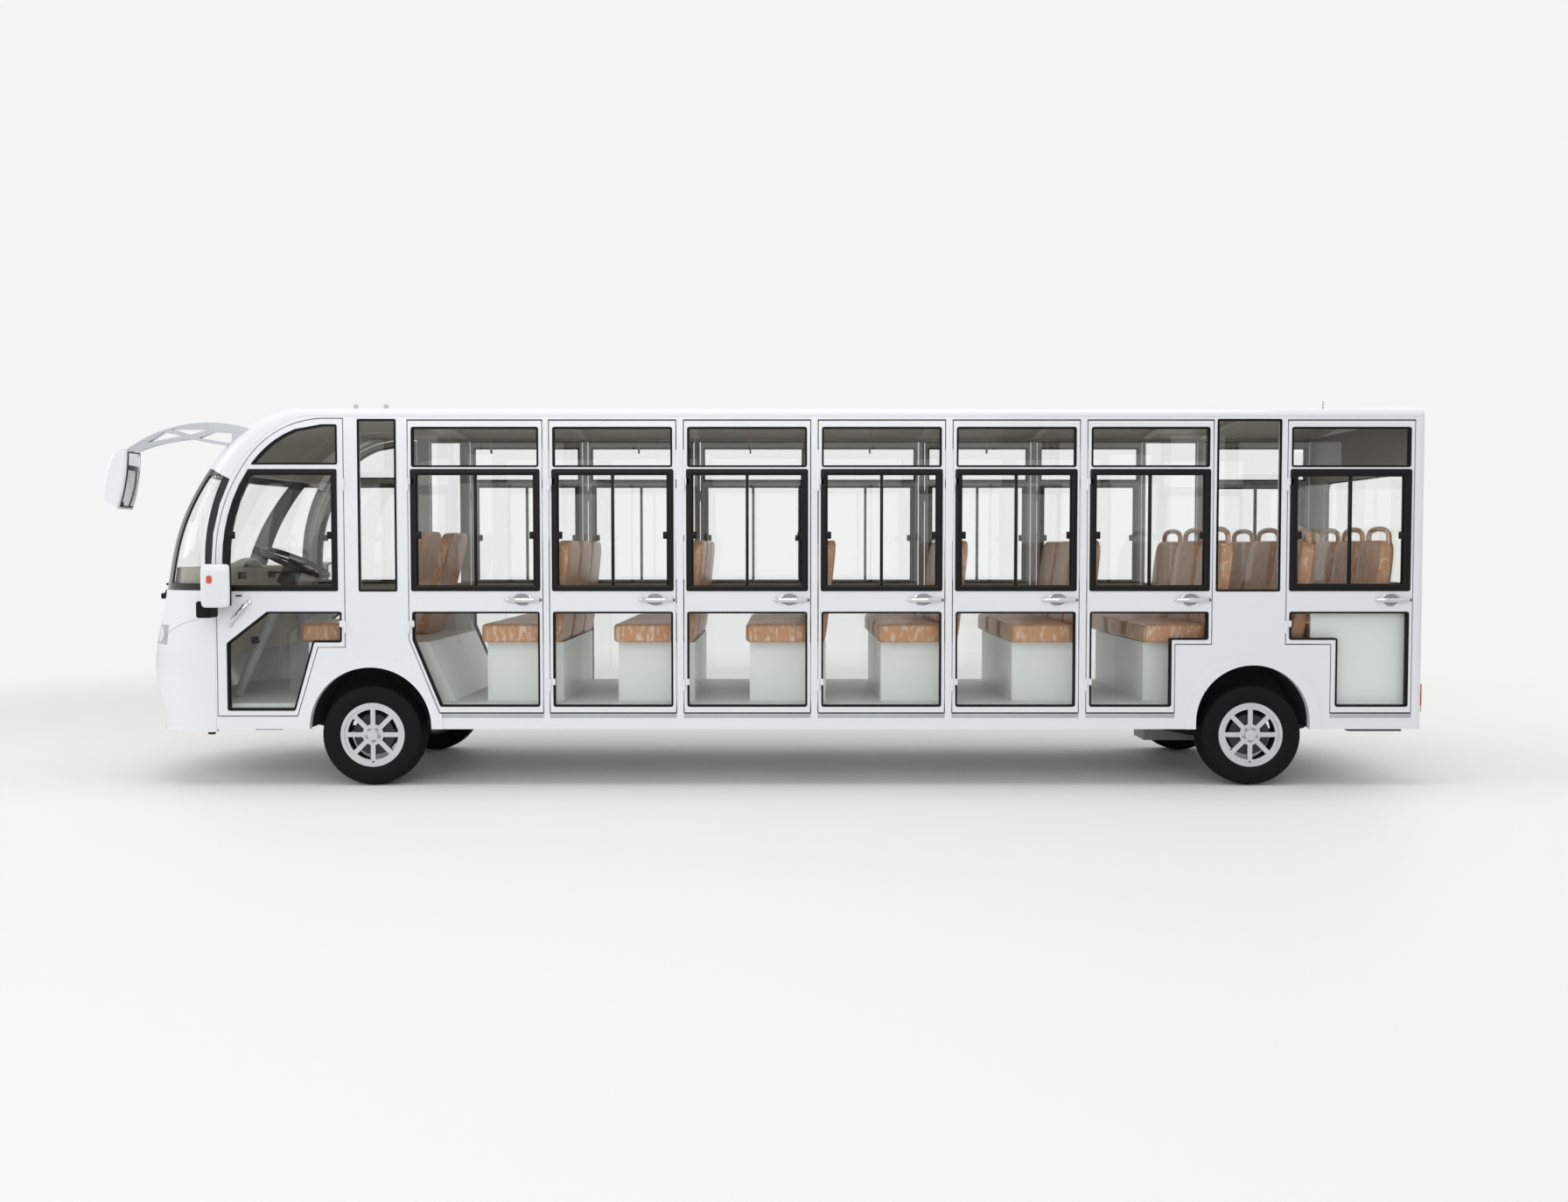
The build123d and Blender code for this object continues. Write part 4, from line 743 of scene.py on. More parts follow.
# the three doors over a wheel arch have a shorter foot
door_foot = {
    2: (door_edges[2][0] + wedge_run, door_edges[2][1]),
    7: (door_edges[7][0], arch_door_edge[7]),
    8: (arch_door_edge[8], door_edges[8][1]),
}
drips, feet, sill_shades = [], [], []
for n, (front, rear) in door_edges.items():
    if n > 1:
        drips.append(cuboid(front - drip_overrun, rear + drip_overrun, *drip_y, *drip_z, seal_soft))
        front, rear = door_foot.get(n, (front, rear))
        feet.append(cuboid(front, rear, *foot_y, *foot_gap_z, seal_soft))
        # painted shade: a bluish grey strip along the step under each door
        sill_shades.append(cuboid(front - sill_shade_overrun, rear + sill_shade_overrun, *sill_shade_y, *sill_shade_z, sill_shade_soft))
pair("door_drip_seals_*", gather(drips + feet), seal_rubber)
pair("sill_scuff_strips_*", gather(sill_shades), grey_moulding_and_shade)

# Cabin lining
# Grey-green moulded seat boxes and floor covering, a headlining with a bow at each post, painted olive-grey
# as painted shade, and short webbing straps to hold on to along the middle of the ceiling.

roof_skin, tree, out = new_tree("gel_coated_roof_with_shaded_underside")
surface = add(tree, "BsdfPrincipled", {"Coat Weight": 0.3, "Coat Roughness": 0.1})
facing = add(tree, "SeparateXYZ", None, Vector=add(tree, "NewGeometry").outputs["True Normal"])
# painted shade: every face of the roof that looks downward is painted olive-grey
under = add(tree, "Math", {"operation": "LESS_THAN", 1: -0.08}, i0=facing.outputs["Z"])
top_and_shaded_underside = {"Color1": linear(gel_white), "Color2": linear("#a2a498")}
colour = add(tree, "MixRGB", top_and_shaded_underside, Fac=under.outputs[0])
gloss = add(tree, "MapRange", {"To Min": 0.22, "To Max": 0.7}, Value=under.outputs[0])
tree.links.new(colour.outputs[0], surface.inputs["Base Color"])
tree.links.new(gloss.outputs[0], surface.inputs["Roughness"])
tree.links.new(surface.outputs[0], out.inputs["Surface"])
dress(roof_skin, "roof")

# spray-moulded glass-fibre seat boxes: pale grey-green, soft gloss
soft_coat = {"Coat Weight": 0.25, "Coat Roughness": 0.2}
box_greens = ("#f0f6f4", "#e8eeec")
seat_shell = blotched("moulded_grey_green_seat_box", *box_greens, 300, soft_coat, 0.1, 5, (0.3, 0.4))
# rolled vinyl floor covering: pale grey, small grain
floor_vinyl = blotched("rolled_vinyl_floor", "#dfe5e2", "#d3dad7", 12, {}, 0.15, 2, (0.5, 0.62))
# moulded lining board: dull, and painted olive grey as painted shade under the roof
shaded_lining_board = blotched("olive_grey_painted_shade_lining", "#a8a99e", "#b2b3a8", 60, {}, 0.15, 2, (0.6, 0.7))
dress(seat_shell, "seat_boxes", "driver_seat_base", "side_boards")
dress(floor_vinyl, "floor")

lining_half, lining_edge_z, lining_middle_z = 660.0, 2038.0, 2084.0
bow_width, bow_drop, bow_sunk = 46.0, 14.0, 4.0
bow_y = np.linspace(-lining_half, lining_half, 33)
bow_z = lining_middle_z - (lining_middle_z - lining_edge_z) * (bow_y / lining_half) ** 2
bow_places = [183, 970, 1704, 2441, 3178, 3915, 4636, 5012, 5730]
bow_shares = [(-1, 2), (-1, -1), (-0.6, -1), (0.6, -1), (1, -1), (1, 2)]
bows = []
for place in bow_places:
    lines = []
    for along, up in bow_shares:
        x = 0 * bow_y + place + along * bow_width / 2
        lines.append(np.stack([x, bow_y, bow_z + up * bow_drop / 2 - bow_sunk], -1))
    bows.append((np.stack(lines, 1), tube_faces(len(bow_y), len(bow_shares))))
piece("ceiling_bows", gather(bows), shaded_lining_board)

# woven webbing: tan, with a soft sheen
webbing = blotched("woven_tan_webbing", "#b58f55", "#a37f49", 3, {"Sheen Weight": 0.3}, 0.3, 2, (0.7, 0.8))
strap_places = [513, 1402, 2074, 2793, 3497]
strap_low, strap_half, strap_thick = 1905.0, 9.0, 3.0
grip_half, grip_back, grip_front, grip_z = 15, 6, 3, (strap_low - 22, strap_low + 4)
straps, tabs = [], []
for place in strap_places:
    straps.append(cuboid(place - strap_thick, place, -strap_half, strap_half, strap_low, lining_middle_z, 1))
    tabs.append(cuboid(place - grip_back, place + grip_front, -grip_half, grip_half, *grip_z, 3))
piece("ceiling_straps", gather(straps), webbing)
piece("strap_grips", gather(tabs), anodised_black)

# Seats
# Foam pads in tan leatherette, still under thin clear film that creases and shines. Benches have a cushion
# and a back for each person; the rear rows end in a padded grab loop. The driver's row has two wider seats.

# embossed leatherette: tan with a fine hide grain; the clear film over it adds creases and gloss, and its
# pale upright streaks are painted highlights
seat_cover, tree, out = new_tree("tan_leatherette_under_clear_film")
where = add(tree, "TexCoord").outputs["Object"]
drawn = add(tree, "Mapping", {"Scale": (1.0, 2.2, 0.28)}, Vector=where)
streak = add(tree, "TexNoise", {"Scale": 44.0, "Detail": 3.0, "Distortion": 0.8}, Vector=drawn.outputs[0])
cloud = add(tree, "TexNoise", {"Scale": 7.0, "Detail": 2.0}, Vector=where)
tans = {"Color1": linear("#bd885d"), "Color2": linear("#ca9870")}
tan = add(tree, "MixRGB", tans, Fac=cloud.outputs["Fac"])
# painted highlight: where the drawn-out noise runs high, the tan turns pale in upright streaks
shining = {"From Min": 0.52, "From Max": 0.65, "To Max": 0.62}
glint = add(tree, "MapRange", shining, Value=streak.outputs["Fac"])
tan_with_painted_highlights = add(tree, "MixRGB", {"Color2": linear("#e9dccf")}, Fac=glint.outputs[0], Color1=tan.outputs[0])
grain = add(tree, "TexVoronoi", {"Scale": 420.0}, Vector=where)
hide = add(tree, "Bump", {"Distance": 0.0004, "Strength": 0.35}, Height=grain.outputs["Distance"])
folds = {"Distance": 0.004, "Strength": 0.55}
crease = add(tree, "Bump", folds, Height=streak.outputs["Fac"], Normal=hide.outputs[0])
cover = {"Roughness": 0.42, "Coat Weight": 0.3, "Coat Roughness": 0.12}
surface = add(tree, "BsdfPrincipled", cover, Base_Color=tan_with_painted_highlights.outputs[0], Normal=crease.outputs[0])
tree.links.new(crease.outputs[0], surface.inputs["Coat Normal"])
tree.links.new(surface.outputs[0], out.inputs["Surface"])

pad_rows, pad_columns = 24, 52
squareness = 0.26
seam_width_share, seam_sink, channel_sink = 0.05, 5.0, 4.0


def pad(middle, half, crown=0.0, pull=0.0, lean=0.0, channels=0, top_round=0.0):
    """Superellipsoid pad: powers of sine and cosine give flat faces and round edges.

    The sides pull in between the corners, the face that is sat on swells by crown, and sewn channels sink as
    narrow valleys across the width. lean shifts x with height.
    """
    up = np.linspace(-np.pi / 2, np.pi / 2, pad_rows + 2)[1:-1, None]
    turn = np.linspace(0, 2 * np.pi, pad_columns, endpoint=False)[None, :]

    def power(value, exponent):
        return np.sign(value) * np.abs(value) ** exponent

    ring_size = power(np.cos(up), squareness)
    x = ring_size * power(np.cos(turn), squareness)
    y = ring_size * power(np.sin(turn), squareness)
    z = power(np.sin(up), squareness) + 0 * turn
    x_shape = x * (1 - pull * (1 - y**2) * np.abs(x))
    y_shape = y * (1 - pull * (1 - z**2 * 0.6)) * (1 - top_round * (z.clip(0) ** 4) * 0.25)
    swell = crown * (1 - x**2) * (1 - y**2) * (z > 0)
    seams = np.linspace(-1, 1, channels + 2)[1:-1]
    valley = sum((np.exp(-(((y - seam) / seam_width_share) ** 2)) for seam in seams), 0 * y)
    px = middle[0] + half[0] * x_shape + lean * z + np.where(x < -0.8, valley * seam_sink, 0)
    py = middle[1] + half[1] * y_shape
    pz = middle[2] + half[2] * z + swell - np.where((z > 0.8) & (crown > 0), valley * channel_sink, 0)
    points = np.stack([px, py, pz], -1).reshape(-1, 3)
    foot = [middle[0] - lean, middle[1], middle[2] - half[2]]
    head = [middle[0] + lean, middle[1], middle[2] + half[2] + crown]
    south, north = len(points), len(points) + 1
    faces = grid_faces(pad_rows, pad_columns, False, True)
    faces += [[k, (k + 1) % pad_columns, south] for k in range(pad_columns)]
    base = (pad_rows - 1) * pad_columns
    faces += [[base + k, base + (k + 1) % pad_columns, north] for k in range(pad_columns)]
    return np.concatenate([points, [foot, head]]), faces


def hose(route, radius, steps=10):
    """Round bar along points: circles across the route, closed at both ends."""
    route = np.array(route, float)
    ahead = np.gradient(route, axis=0)
    ahead /= np.linalg.norm(ahead, axis=1)[:, None]
    helper = np.array([1.0, 0, 0]) if abs(ahead[0][0]) < 0.9 else np.array([0, 1.0, 0])
    across = np.cross(ahead, helper)
    across /= np.linalg.norm(across, axis=1)[:, None]
    upward = np.cross(across, ahead)
    turn = np.linspace(0, 2 * np.pi, steps, endpoint=False)[None, :, None]
    points = route[:, None] + radius * (across[:, None] * np.cos(turn) + upward[:, None] * np.sin(turn))
    return points, tube_faces(len(route), steps)


# front of each seat box, its depth, people a row, whether the back ends in a loop
bench_pitch, bench_first, bench_depth = 738, 606, 428
seat_rows = [(bench_first + bench_pitch * k, bench_depth, 3, k == 5) for k in range(6)]
seat_rows += [(4835, 340, 3, True), (5275, 340, 4, True)]
seat_top, cushion_height, back_top, loop_top = 783.5, 117.0, 1357.0, 1434.0
back_thick, back_lean, seat_span, pad_gap = 90.0, 64.0, 1350.0, 16.0
cushion_overhang, cushion_crown, cushion_pull = 25, 8.0, 0.03
# pads are drawn in by this much, so that their swollen faces stay in the room they have
cushion_draw, cushion_spread, back_draw = 4, 4, 2
back_channels, back_pull, back_round = 2, 0.04, 0.35
loop_share, loop_radius, loop_out, loop_sunk, loop_rise, loop_power = 0.4, 15.0, 8, 22, 10, 0.4


def cushion(low_x, high_x, y, half_width):
    """Seat cushion that lies on its box between two stations."""
    half = ((high_x - low_x) / 2, half_width, cushion_height / 2 - cushion_draw)
    return pad(((low_x + high_x) / 2, y, seat_top + half[2]), half, cushion_crown, cushion_pull)


def seat_back(foot_x, y, half_width, top, lean, pull, top_round):
    """Seat back that stands on the box and leans to the rear, with two sewn channels."""
    tall = (top - seat_top) / 2
    half = (back_thick / 2 - back_draw, half_width, tall)
    return pad((foot_x + lean / 2, y, seat_top + tall), half, 0.0, pull, lean / 2, back_channels, top_round)


cushion_parts, back_parts = {}, {}
for number, (front, depth, people, loops) in enumerate(seat_rows, start=1):
    pitch = seat_span / people
    half_width = (pitch - pad_gap) / 2
    foot_x = front + depth - back_thick / 2
    cushions, backs = [], []
    for place in range(people):
        y = (place - (people - 1) / 2) * pitch
        ends = (front - cushion_overhang, front + depth - back_thick)
        cushions.append(cushion(*ends, y, half_width + cushion_spread))
        backs.append(seat_back(foot_x, y, half_width, back_top, back_lean, back_pull, back_round))
        if loops:
            sweep = np.linspace(0, np.pi, 17)
            loop_x = foot_x + back_lean + loop_out + 0 * sweep
            loop_y = y + (pitch - pad_gap) * loop_share * np.cos(sweep)
            rise = (loop_top - back_top + loop_rise) * np.sin(sweep) ** loop_power
            backs.append(hose(np.stack([loop_x, loop_y, back_top - loop_sunk + rise], -1), loop_radius, 12))
    cushion_parts[f"row_{number}"] = cushions
    back_parts[f"row_{number}"] = backs
driver_y, driver_half, driver_lean, driver_top = 330.0, 245.0, 170.0, 1410.0
driver_pull, driver_round = 0.05, 0.5
# the backs stand this far ahead of the box's rear edge, and the cushions start at the front edge
driver_box_front, driver_box_rear, driver_gap, cushion_gap = -460.0, 275, 16, 0.5
driver_back_x = driver_box_rear - driver_gap - driver_lean - back_thick
cushions, backs = [], []
for y in (-driver_y, driver_y):
    cushions.append(cushion(driver_box_front, driver_back_x - cushion_gap, y, driver_half))
    shape = (driver_half, driver_top, driver_lean, driver_pull, driver_round)
    backs.append(seat_back(driver_back_x + back_thick / 2, y, *shape))
cushion_parts["front_row"], back_parts["front_row"] = cushions, backs
for kind, node, rows in (("cushions", "seat_cushions", cushion_parts), ("backs", "seat_backs", back_parts)):
    for name, parts in rows.items():
        padding = piece(f"padded_{kind}_{name}", gather(parts), seat_cover, "root", 60)
        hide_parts(node)

# Dashboard and steering
# Soft-touch beige-grey moulding with an instrument hood and vents, and a moulded black steering wheel with
# its switch stalks. A small lever is clamped to the column.

# grained thermoplastic skin: beige grey, dull
dash_skin = blotched("grained_grey_dashboard_moulding", "#b9b4a8", "#aca79b", 80, {}, 0.25, 2, (0.55, 0.68))
# moulded polyurethane: black, half dull
wheel_black = ("moulded_black_polyurethane", "#090909", "#101111")
steering_polyurethane = blotched(*wheel_black, 25, {"Specular IOR Level": 0.25}, 0.2, 2, (0.4, 0.52))
dress(dash_skin, "dashboard")
dress(steering_polyurethane, "steering_wheel")
# moulded column cover: pale grey below, black under the wheel
cover_top_z = 1.0
column_cover, tree, out = new_tree("moulded_column_cover")
height = add(tree, "SeparateXYZ", None, Vector=add(tree, "TexCoord").outputs["Object"]).outputs["Z"]
upper = add(tree, "Math", {"operation": "GREATER_THAN", 1: cover_top_z}, i0=height)
pale_and_black = {"Color1": linear("#b4bab8"), "Color2": linear("#161717")}
colour = add(tree, "MixRGB", pale_and_black, Fac=upper.outputs[0])
surface = add(tree, "BsdfPrincipled", {"Roughness": 0.5}, Base_Color=colour.outputs[0])
tree.links.new(surface.outputs[0], out.inputs["Surface"])
dress(column_cover, "steering_column")

dash_top, dash_rear, wheel_y = 1205.0, -775.0, -350
stalk_x, stalk_z, stalk_out, stalk_half = (-640, -560), (1168, 1182), 90, 60
stalks = []
for y in (wheel_y + stalk_out, wheel_y - stalk_out):
    stalks.append(cuboid(*stalk_x, y - stalk_half, y + stalk_half, *stalk_z, 5))
# the lever's route from the column outward, and its knob
lever_x = -755.0
lever = hose([(lever_x, -352, 770), (lever_x, -410, 776), (lever_x + 6, -452, 786)], 6.0)
knob = pad((lever_x + 8, -462, 788), (17, 17, 20))
piece("column_stalks", gather(stalks), steering_polyurethane)
piece("column_lever", gather([lever, knob]), steering_polyurethane)
vent_x, vent_z, vent_half = (dash_rear - 40, dash_rear + 3), (1140, 1180), 60
vents = [cuboid(*vent_x, y - vent_half, y + vent_half, *vent_z, 4) for y in (-560, -120, 120, 560)]
piece("dashboard_vents", gather(vents), steering_polyurethane)
# hood: an arch over the instruments; its sections run from the front foot over the crown and back inside
hood_half, hood_rise, hood_sunk = 150, 62, 8
hood_sections = [(-190, 0), (-60, 1.0), (-20, 0.94), (-20, 0.80), (-60, 0.7)]
hood_y = np.linspace(-hood_half, hood_half, 21)
hood_arch = hood_rise * np.sqrt((1 - (hood_y / hood_half) ** 2).clip(0))
lines = []
for back, share in hood_sections:
    x, y = 0 * hood_y + dash_rear + back, hood_y * (0.6 + 0.4 * share) + wheel_y
    lines.append(np.stack([x, y, dash_top - hood_sunk + hood_arch * share], -1))
hood = (np.stack(lines), grid_faces(len(hood_sections), len(hood_y), True, False))
piece("instrument_hood", hood, dash_skin, "root", 50)

# Door handles
# Chromed zinc pull handles over an oval dished cup, with a black lock barrel at the rear end. The driver's
# door has a slanted pull of the same kind, and a small catch over it.

# bright chrome on the pull, satin chrome in the cup, and a blackened lock barrel
chrome = blotched("chromed_zinc_casting", "#d9dbdc", "#cfd1d3", 40, bare_metal, 0.0, 1, (0.06, 0.12))
satin_metal = {"Metallic": 0.85}
satin_dish = blotched("satin_chromed_dish", "#8d9196", "#9a9ea3", 20, satin_metal, 0.0, 1, (0.22, 0.34))
dark_metal = {"Metallic": 0.3}
lock_black = blotched("black_lock_barrel", "#17181a", "#202123", 8, dark_metal, 0.0, 1, (0.35, 0.5))
handle_z, handle_back, handle_half = 1028.0, 107.0, 98.0
cup_half, cup_shift = (52.0, 38.0), 6
bow_out, bow_foot, bar_thick, bar_deep = 26.0, 5.0, 13.0, 5.5


def oval_ring(middle_x, middle_z, half_x, half_z, profile, steps=40):
    """Closed (scale, y) profile carried round an ellipse in the side plane."""
    turn = np.linspace(0, 2 * np.pi, steps, endpoint=False)
    lines = []
    for scale, y in profile:
        x, z = middle_x + half_x * scale * np.cos(turn), middle_z + half_z * scale * np.sin(turn)
        lines.append(np.stack([x, 0 * turn + y, z], -1))
    return np.stack(lines), grid_faces(len(profile), steps, True, True)


def pull_bar(middle_x, middle_z, half, tilt=0.0, thick=bar_thick, columns=25, steps=14):
    """Bar that bows out from the door: its section is an ellipse that swells from the ends to the middle."""
    share = np.linspace(-1, 1, columns)[:, None]
    turn = np.linspace(0, 2 * np.pi, steps, endpoint=False)[None, :]
    swell = (1.04 - share**2).clip(0.02) ** 0.35
    y = skin_y - bow_foot - bow_out * (1 - share**2) ** 0.7 + bar_deep * swell * np.cos(turn)
    high = thick * swell * np.sin(turn)
    along = share * half + 0 * turn
    x = middle_x + along * np.cos(tilt) - high * np.sin(tilt)
    z = middle_z + along * np.sin(tilt) + high * np.cos(tilt)
    return np.stack([x, y, z], -1), tube_faces(columns, steps)


cup_lip = [(1.0, 1), (1.02, -2.5), (0.94, -4.0), (0.86, -2.0), (0.84, 1)]
cup_lip = [(scale, skin_y + out_y) for scale, out_y in cup_lip]
cup_dish = [(0.86, -0.5), (0.6, -0.9), (0.3, -1.0), (0.02, -1.0), (0.02, 1), (0.86, 1)]
cup_dish = [(scale, skin_y + out_y) for scale, out_y in cup_dish]
# (across, radius) rings of the feet and the lock, on a seat just inside the skin
handle_seat = skin_y + 1
foot_rings = [(0, 9), (-6, 9), (-9, 6)]
driver_foot_rings = [(0, 15), (-9, 13), (-11, 10)]
lock_rings = [(0, 8), (-9, 8), (-10, 6)]
foot_inset, lock_inset = 12, 3
# driver's pull: place, slant and half length; its finger bar runs beside it, and the catch lies over it
driver_pull_x, driver_pull_z, driver_pull_half, driver_pull_thick = -712.0, 952.0, 92.0, 9.0
driver_slant, driver_foot_share = np.radians(50), 0.9
finger_offset, finger_half, finger_radius = 16, 52, 4.0
catch_x, catch_y, catch_z = (driver_pull_x - 20, driver_pull_x + 12), (skin_y - 8, skin_y + 1), (1047, 1056)

for n, (front, rear) in door_edges.items():
    if n == 1:
        lean_x, lean_z = np.cos(driver_slant), np.sin(driver_slant)
        bar = (driver_pull_x, driver_pull_z, driver_pull_half, driver_slant, driver_pull_thick)
        bright = [pull_bar(*bar)]
        for end in (-1, 1):
            reach = end * driver_pull_half * driver_foot_share
            spot = (driver_pull_x + reach * lean_x, handle_seat, driver_pull_z + reach * lean_z)
            bright.append(disc_stack(driver_foot_rings, *spot, 20))
        x, z = driver_pull_x - finger_offset * lean_z, driver_pull_z + finger_offset * lean_x
        run_x, run_z = finger_half * lean_x, finger_half * lean_z
        finger = [(x - run_x, skin_y - 2, z - run_z), (x, skin_y - 2.5, z)]
        finger.append((x + run_x, skin_y - 2, z + run_z))
        dark = [hose(finger, finger_radius), cuboid(*catch_x, *catch_y, *catch_z, 2)]
    else:
        middle = rear - handle_back
        cup = (middle - cup_shift, handle_z, *cup_half)
        bright = [pull_bar(middle, handle_z, handle_half), oval_ring(*cup, cup_lip)]
        for end in (-1, 1):
            foot_x = middle + end * (handle_half - foot_inset)
            bright.append(disc_stack(foot_rings, foot_x, handle_seat, handle_z, 16))
        pair(f"handle_cup_*_{n}", oval_ring(*cup, cup_dish), satin_dish, f"door_*_{n}", 50)
        dark = [disc_stack(lock_rings, middle + handle_half - lock_inset, handle_seat, handle_z, 16)]
    pair(f"pull_handle_*_{n}", gather(bright), chrome, f"door_*_{n}", 50)
    pair(f"door_lock_*_{n}", gather(dark), lock_black, f"door_*_{n}", 50)

# Mirrors
# Wing mirrors: moulded white shells on a black foot, silvered glass turned in to the driver, an orange
# marker. Roof mirrors: silver lacquered arms with white heads and tall convex glasses behind.

mirror_silver, tree, out = new_tree("silvered_mirror_glass")
silvering = {"Base Color": linear("#e3e6e8"), "Metallic": 1.0, "Roughness": 0.02}
surface = add(tree, "BsdfPrincipled", silvering)
tree.links.new(surface.outputs[0], out.inputs["Surface"])
# moulded acrylic lens: orange, glossy
lens = {"Coat Weight": 0.8, "Transmission Weight": 0.1}
amber = blotched("moulded_orange_marker_lens", "#e2562b", "#d84c22", 10, lens, 0.1, 3, (0.15, 0.2))
# the shell is turned so that its glass looks in to the driver; it takes the place of the square CAD shell
mirror_spot = (-795.0, -862.0, 1109.0)
mirror_half = (75.0, 75.0, 118.0)
mirror_turn = np.radians(22)
mirror_corner, glass_inset = 40.0, 18.0
marker_x, marker_z, marker_corner, marker_proud, marker_depth = (-46, -18), (14, 56), 12.0, 2.0, 6


def hung(shape):
    """Turns a shape made about the wing mirror's middle and puts it in place."""
    points, faces = shape
    x, y, z = np.asarray(points, float).reshape(-1, 3).T
    along = x * np.cos(mirror_turn) - y * np.sin(mirror_turn)
    across = x * np.sin(mirror_turn) + y * np.cos(mirror_turn)
    return np.stack([along, across, z], -1) + mirror_spot, faces


half_x, half_y, half_z = mirror_half
glass_corners = box_corners(-half_y, half_y, -half_z, half_z)
wing_glass = plate(glass_corners, mirror_corner, glass_inset, half_x - 5, half_x + 1)
# the rim's section: inset from the shell's edge, and distance past its rear face
rim_section = [(9, -8), (9, 0), (11, 2), (17, 2), (19, 0.5), (19, -8)]
wing_rim = ring(glass_corners, mirror_corner, [(inset, half_x + out_x) for inset, out_x in rim_section])
marker_y = (-half_y - marker_proud, -half_y + marker_depth)
marker = plate(box_corners(*marker_x, *marker_z), marker_corner, 0, *marker_y)
# moulded boot round the shell's lower front corner, and the bracket that carries it from the door
boot_middle, boot_half = (-842, -868, 982), (38, 62, 46)
bracket = (-834, -780, -840, -750.6, 996, 1040)
foot = [pad(boot_middle, boot_half), cuboid(*bracket, 8)]

shells = pair("wing_mirror_shell_*", hung(pad((0, 0, 0), mirror_half)), plain_gel_coat, "door_*_1", 60)
for side, shell in shells.items():
    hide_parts(f"wing_mirror_{side}")
pair("wing_mirror_glass_*", hung(crosswise(wing_glass)), mirror_silver, "door_*_1")
pair("wing_mirror_rim_*", hung(crosswise(wing_rim)), anodised_black, "door_*_1")
pair("wing_marker_*", hung(marker), amber, "door_*_1")
pair("wing_mirror_foot_*", gather(foot), seal_rubber, "door_*_1")

# satin silver lacquer on the cast arm, smoother than on the wheels, and white on the head below it
arm_foot_z, arm_metallic = 1.846, 0.45
lacquer = {"Metallic": arm_metallic, "Coat Weight": 0.6, "Coat Roughness": 0.08}
arm_silver = ("silver_white_lacquered_casting", "#b9bec4", "#c5c9ce")
arm_lacquer = blotched(*arm_silver, 60, lacquer, 0.05, 3, (0.22, 0.3))
tree = arm_lacquer.node_tree
surface = tree.nodes["Principled BSDF"]
height = add(tree, "SeparateXYZ", None, Vector=add(tree, "TexCoord").outputs["Object"]).outputs["Z"]
is_arm = add(tree, "Math", {"operation": "GREATER_THAN", 1: arm_foot_z}, i0=height).outputs[0]
silver = surface.inputs["Base Color"].links[0].from_socket
colour = add(tree, "MixRGB", {"Color1": linear(gel_white)}, Fac=is_arm, Color2=silver)
metal = add(tree, "Math", {"operation": "MULTIPLY", 1: arm_metallic}, i0=is_arm)
tree.links.new(colour.outputs[0], surface.inputs["Base Color"])
tree.links.new(metal.outputs[0], surface.inputs["Metallic"])
dress(arm_lacquer, "roof_mirrors")

# the head's rear face as three (z, x) places on a parabola
head_y, head_half_y = -690.0, 72.0
head_fit = np.polyfit([1527, 1575, 1850], [-1360, -1345, -1308], 2)
head_glass_z, head_rim_z = np.linspace(1545, 1832, 15), np.linspace(1538, 1840, 15)
head_glass_inset, head_glass_thick, head_rim_thick = 8, 4.0, 1.5


def bowed_sheet(lines_z, y_low, y_high, thick, crown, columns=11):
    """Sheet over the head's curve, crowned across: front and back grids sewn round the edge."""
    y = np.linspace(y_low, y_high, columns)[None, :]
    back_x, z = np.polyval(head_fit, lines_z)[:, None], lines_z[:, None] + 0 * y
    share = (2 * (y - y_low) / (y_high - y_low) - 1) ** 2
    front = np.stack([back_x + crown * (1 - share) * 0.5 + thick, y + 0 * back_x, z], -1)
    back = np.stack([back_x - 1 + 0 * y, y + 0 * back_x, z], -1)
    rows = len(lines_z)
    one = rows * columns
    sheet = grid_faces(rows, columns)
    rim = list(range(columns)) + [r * columns + columns - 1 for r in range(1, rows)]
    rim += [one - 1 - k for k in range(1, columns)] + [r * columns for r in range(rows - 2, 0, -1)]
    walls = [[a, b, b + one, a + one] for a, b in zip(rim, rim[1:] + rim[:1])]
    behind = [[corner + one for corner in face[::-1]] for face in sheet]
    return np.concatenate([front.reshape(-1, 3), back.reshape(-1, 3)]), sheet + behind + walls


head_low, head_high = head_y - head_half_y, head_y + head_half_y
glass_y = (head_low + head_glass_inset, head_high - head_glass_inset)
head_glass = bowed_sheet(head_glass_z, *glass_y, head_glass_thick, 6.0)
pair("roof_mirror_glass_*", head_glass, mirror_silver, "root", 60)
head_rim = bowed_sheet(head_rim_z, head_low, head_high, head_rim_thick, 3.0)
pair("roof_mirror_rim_*", head_rim, anodised_black, "root", 60)

# Lamps
# Headlamps: clear polycarbonate covers that follow the nose, two round reflectors behind each. Tail lamps:
# ribbed red acrylic stood up from the rear corners, an amber and a clear field in each.

lamp_places, lamp_z, lamp_radius = (0.455, 0.575), 0.83, 0.044
flutes_per_metre, ribs_per_metre = 520.0, 1250.0
headlamp_cover, tree, out = new_tree("clear_polycarbonate_headlamp")
where = add(tree, "TexCoord").outputs["Object"]
axes = add(tree, "SeparateXYZ", None, Vector=where)
span = add(tree, "Math", {"operation": "ABSOLUTE"}, i0=axes.outputs["Y"])
flat = add(tree, "CombineXYZ", {"Y": 0.0}, X=span.outputs[0], Z=axes.outputs["Z"])
rings = []
for spot_y in lamp_places:
    from_lamp = {"operation": "DISTANCE", 1: (spot_y, 0.0, lamp_z)}
    rings.append(add(tree, "VectorMath", from_lamp, i0=flat.outputs[0]).outputs["Value"])
nearest = add(tree, "Math", {"operation": "MINIMUM"}, i0=rings[0], i1=rings[1])
bowl = add(tree, "Math", {"operation": "LESS_THAN", 1: lamp_radius}, i0=nearest.outputs[0])
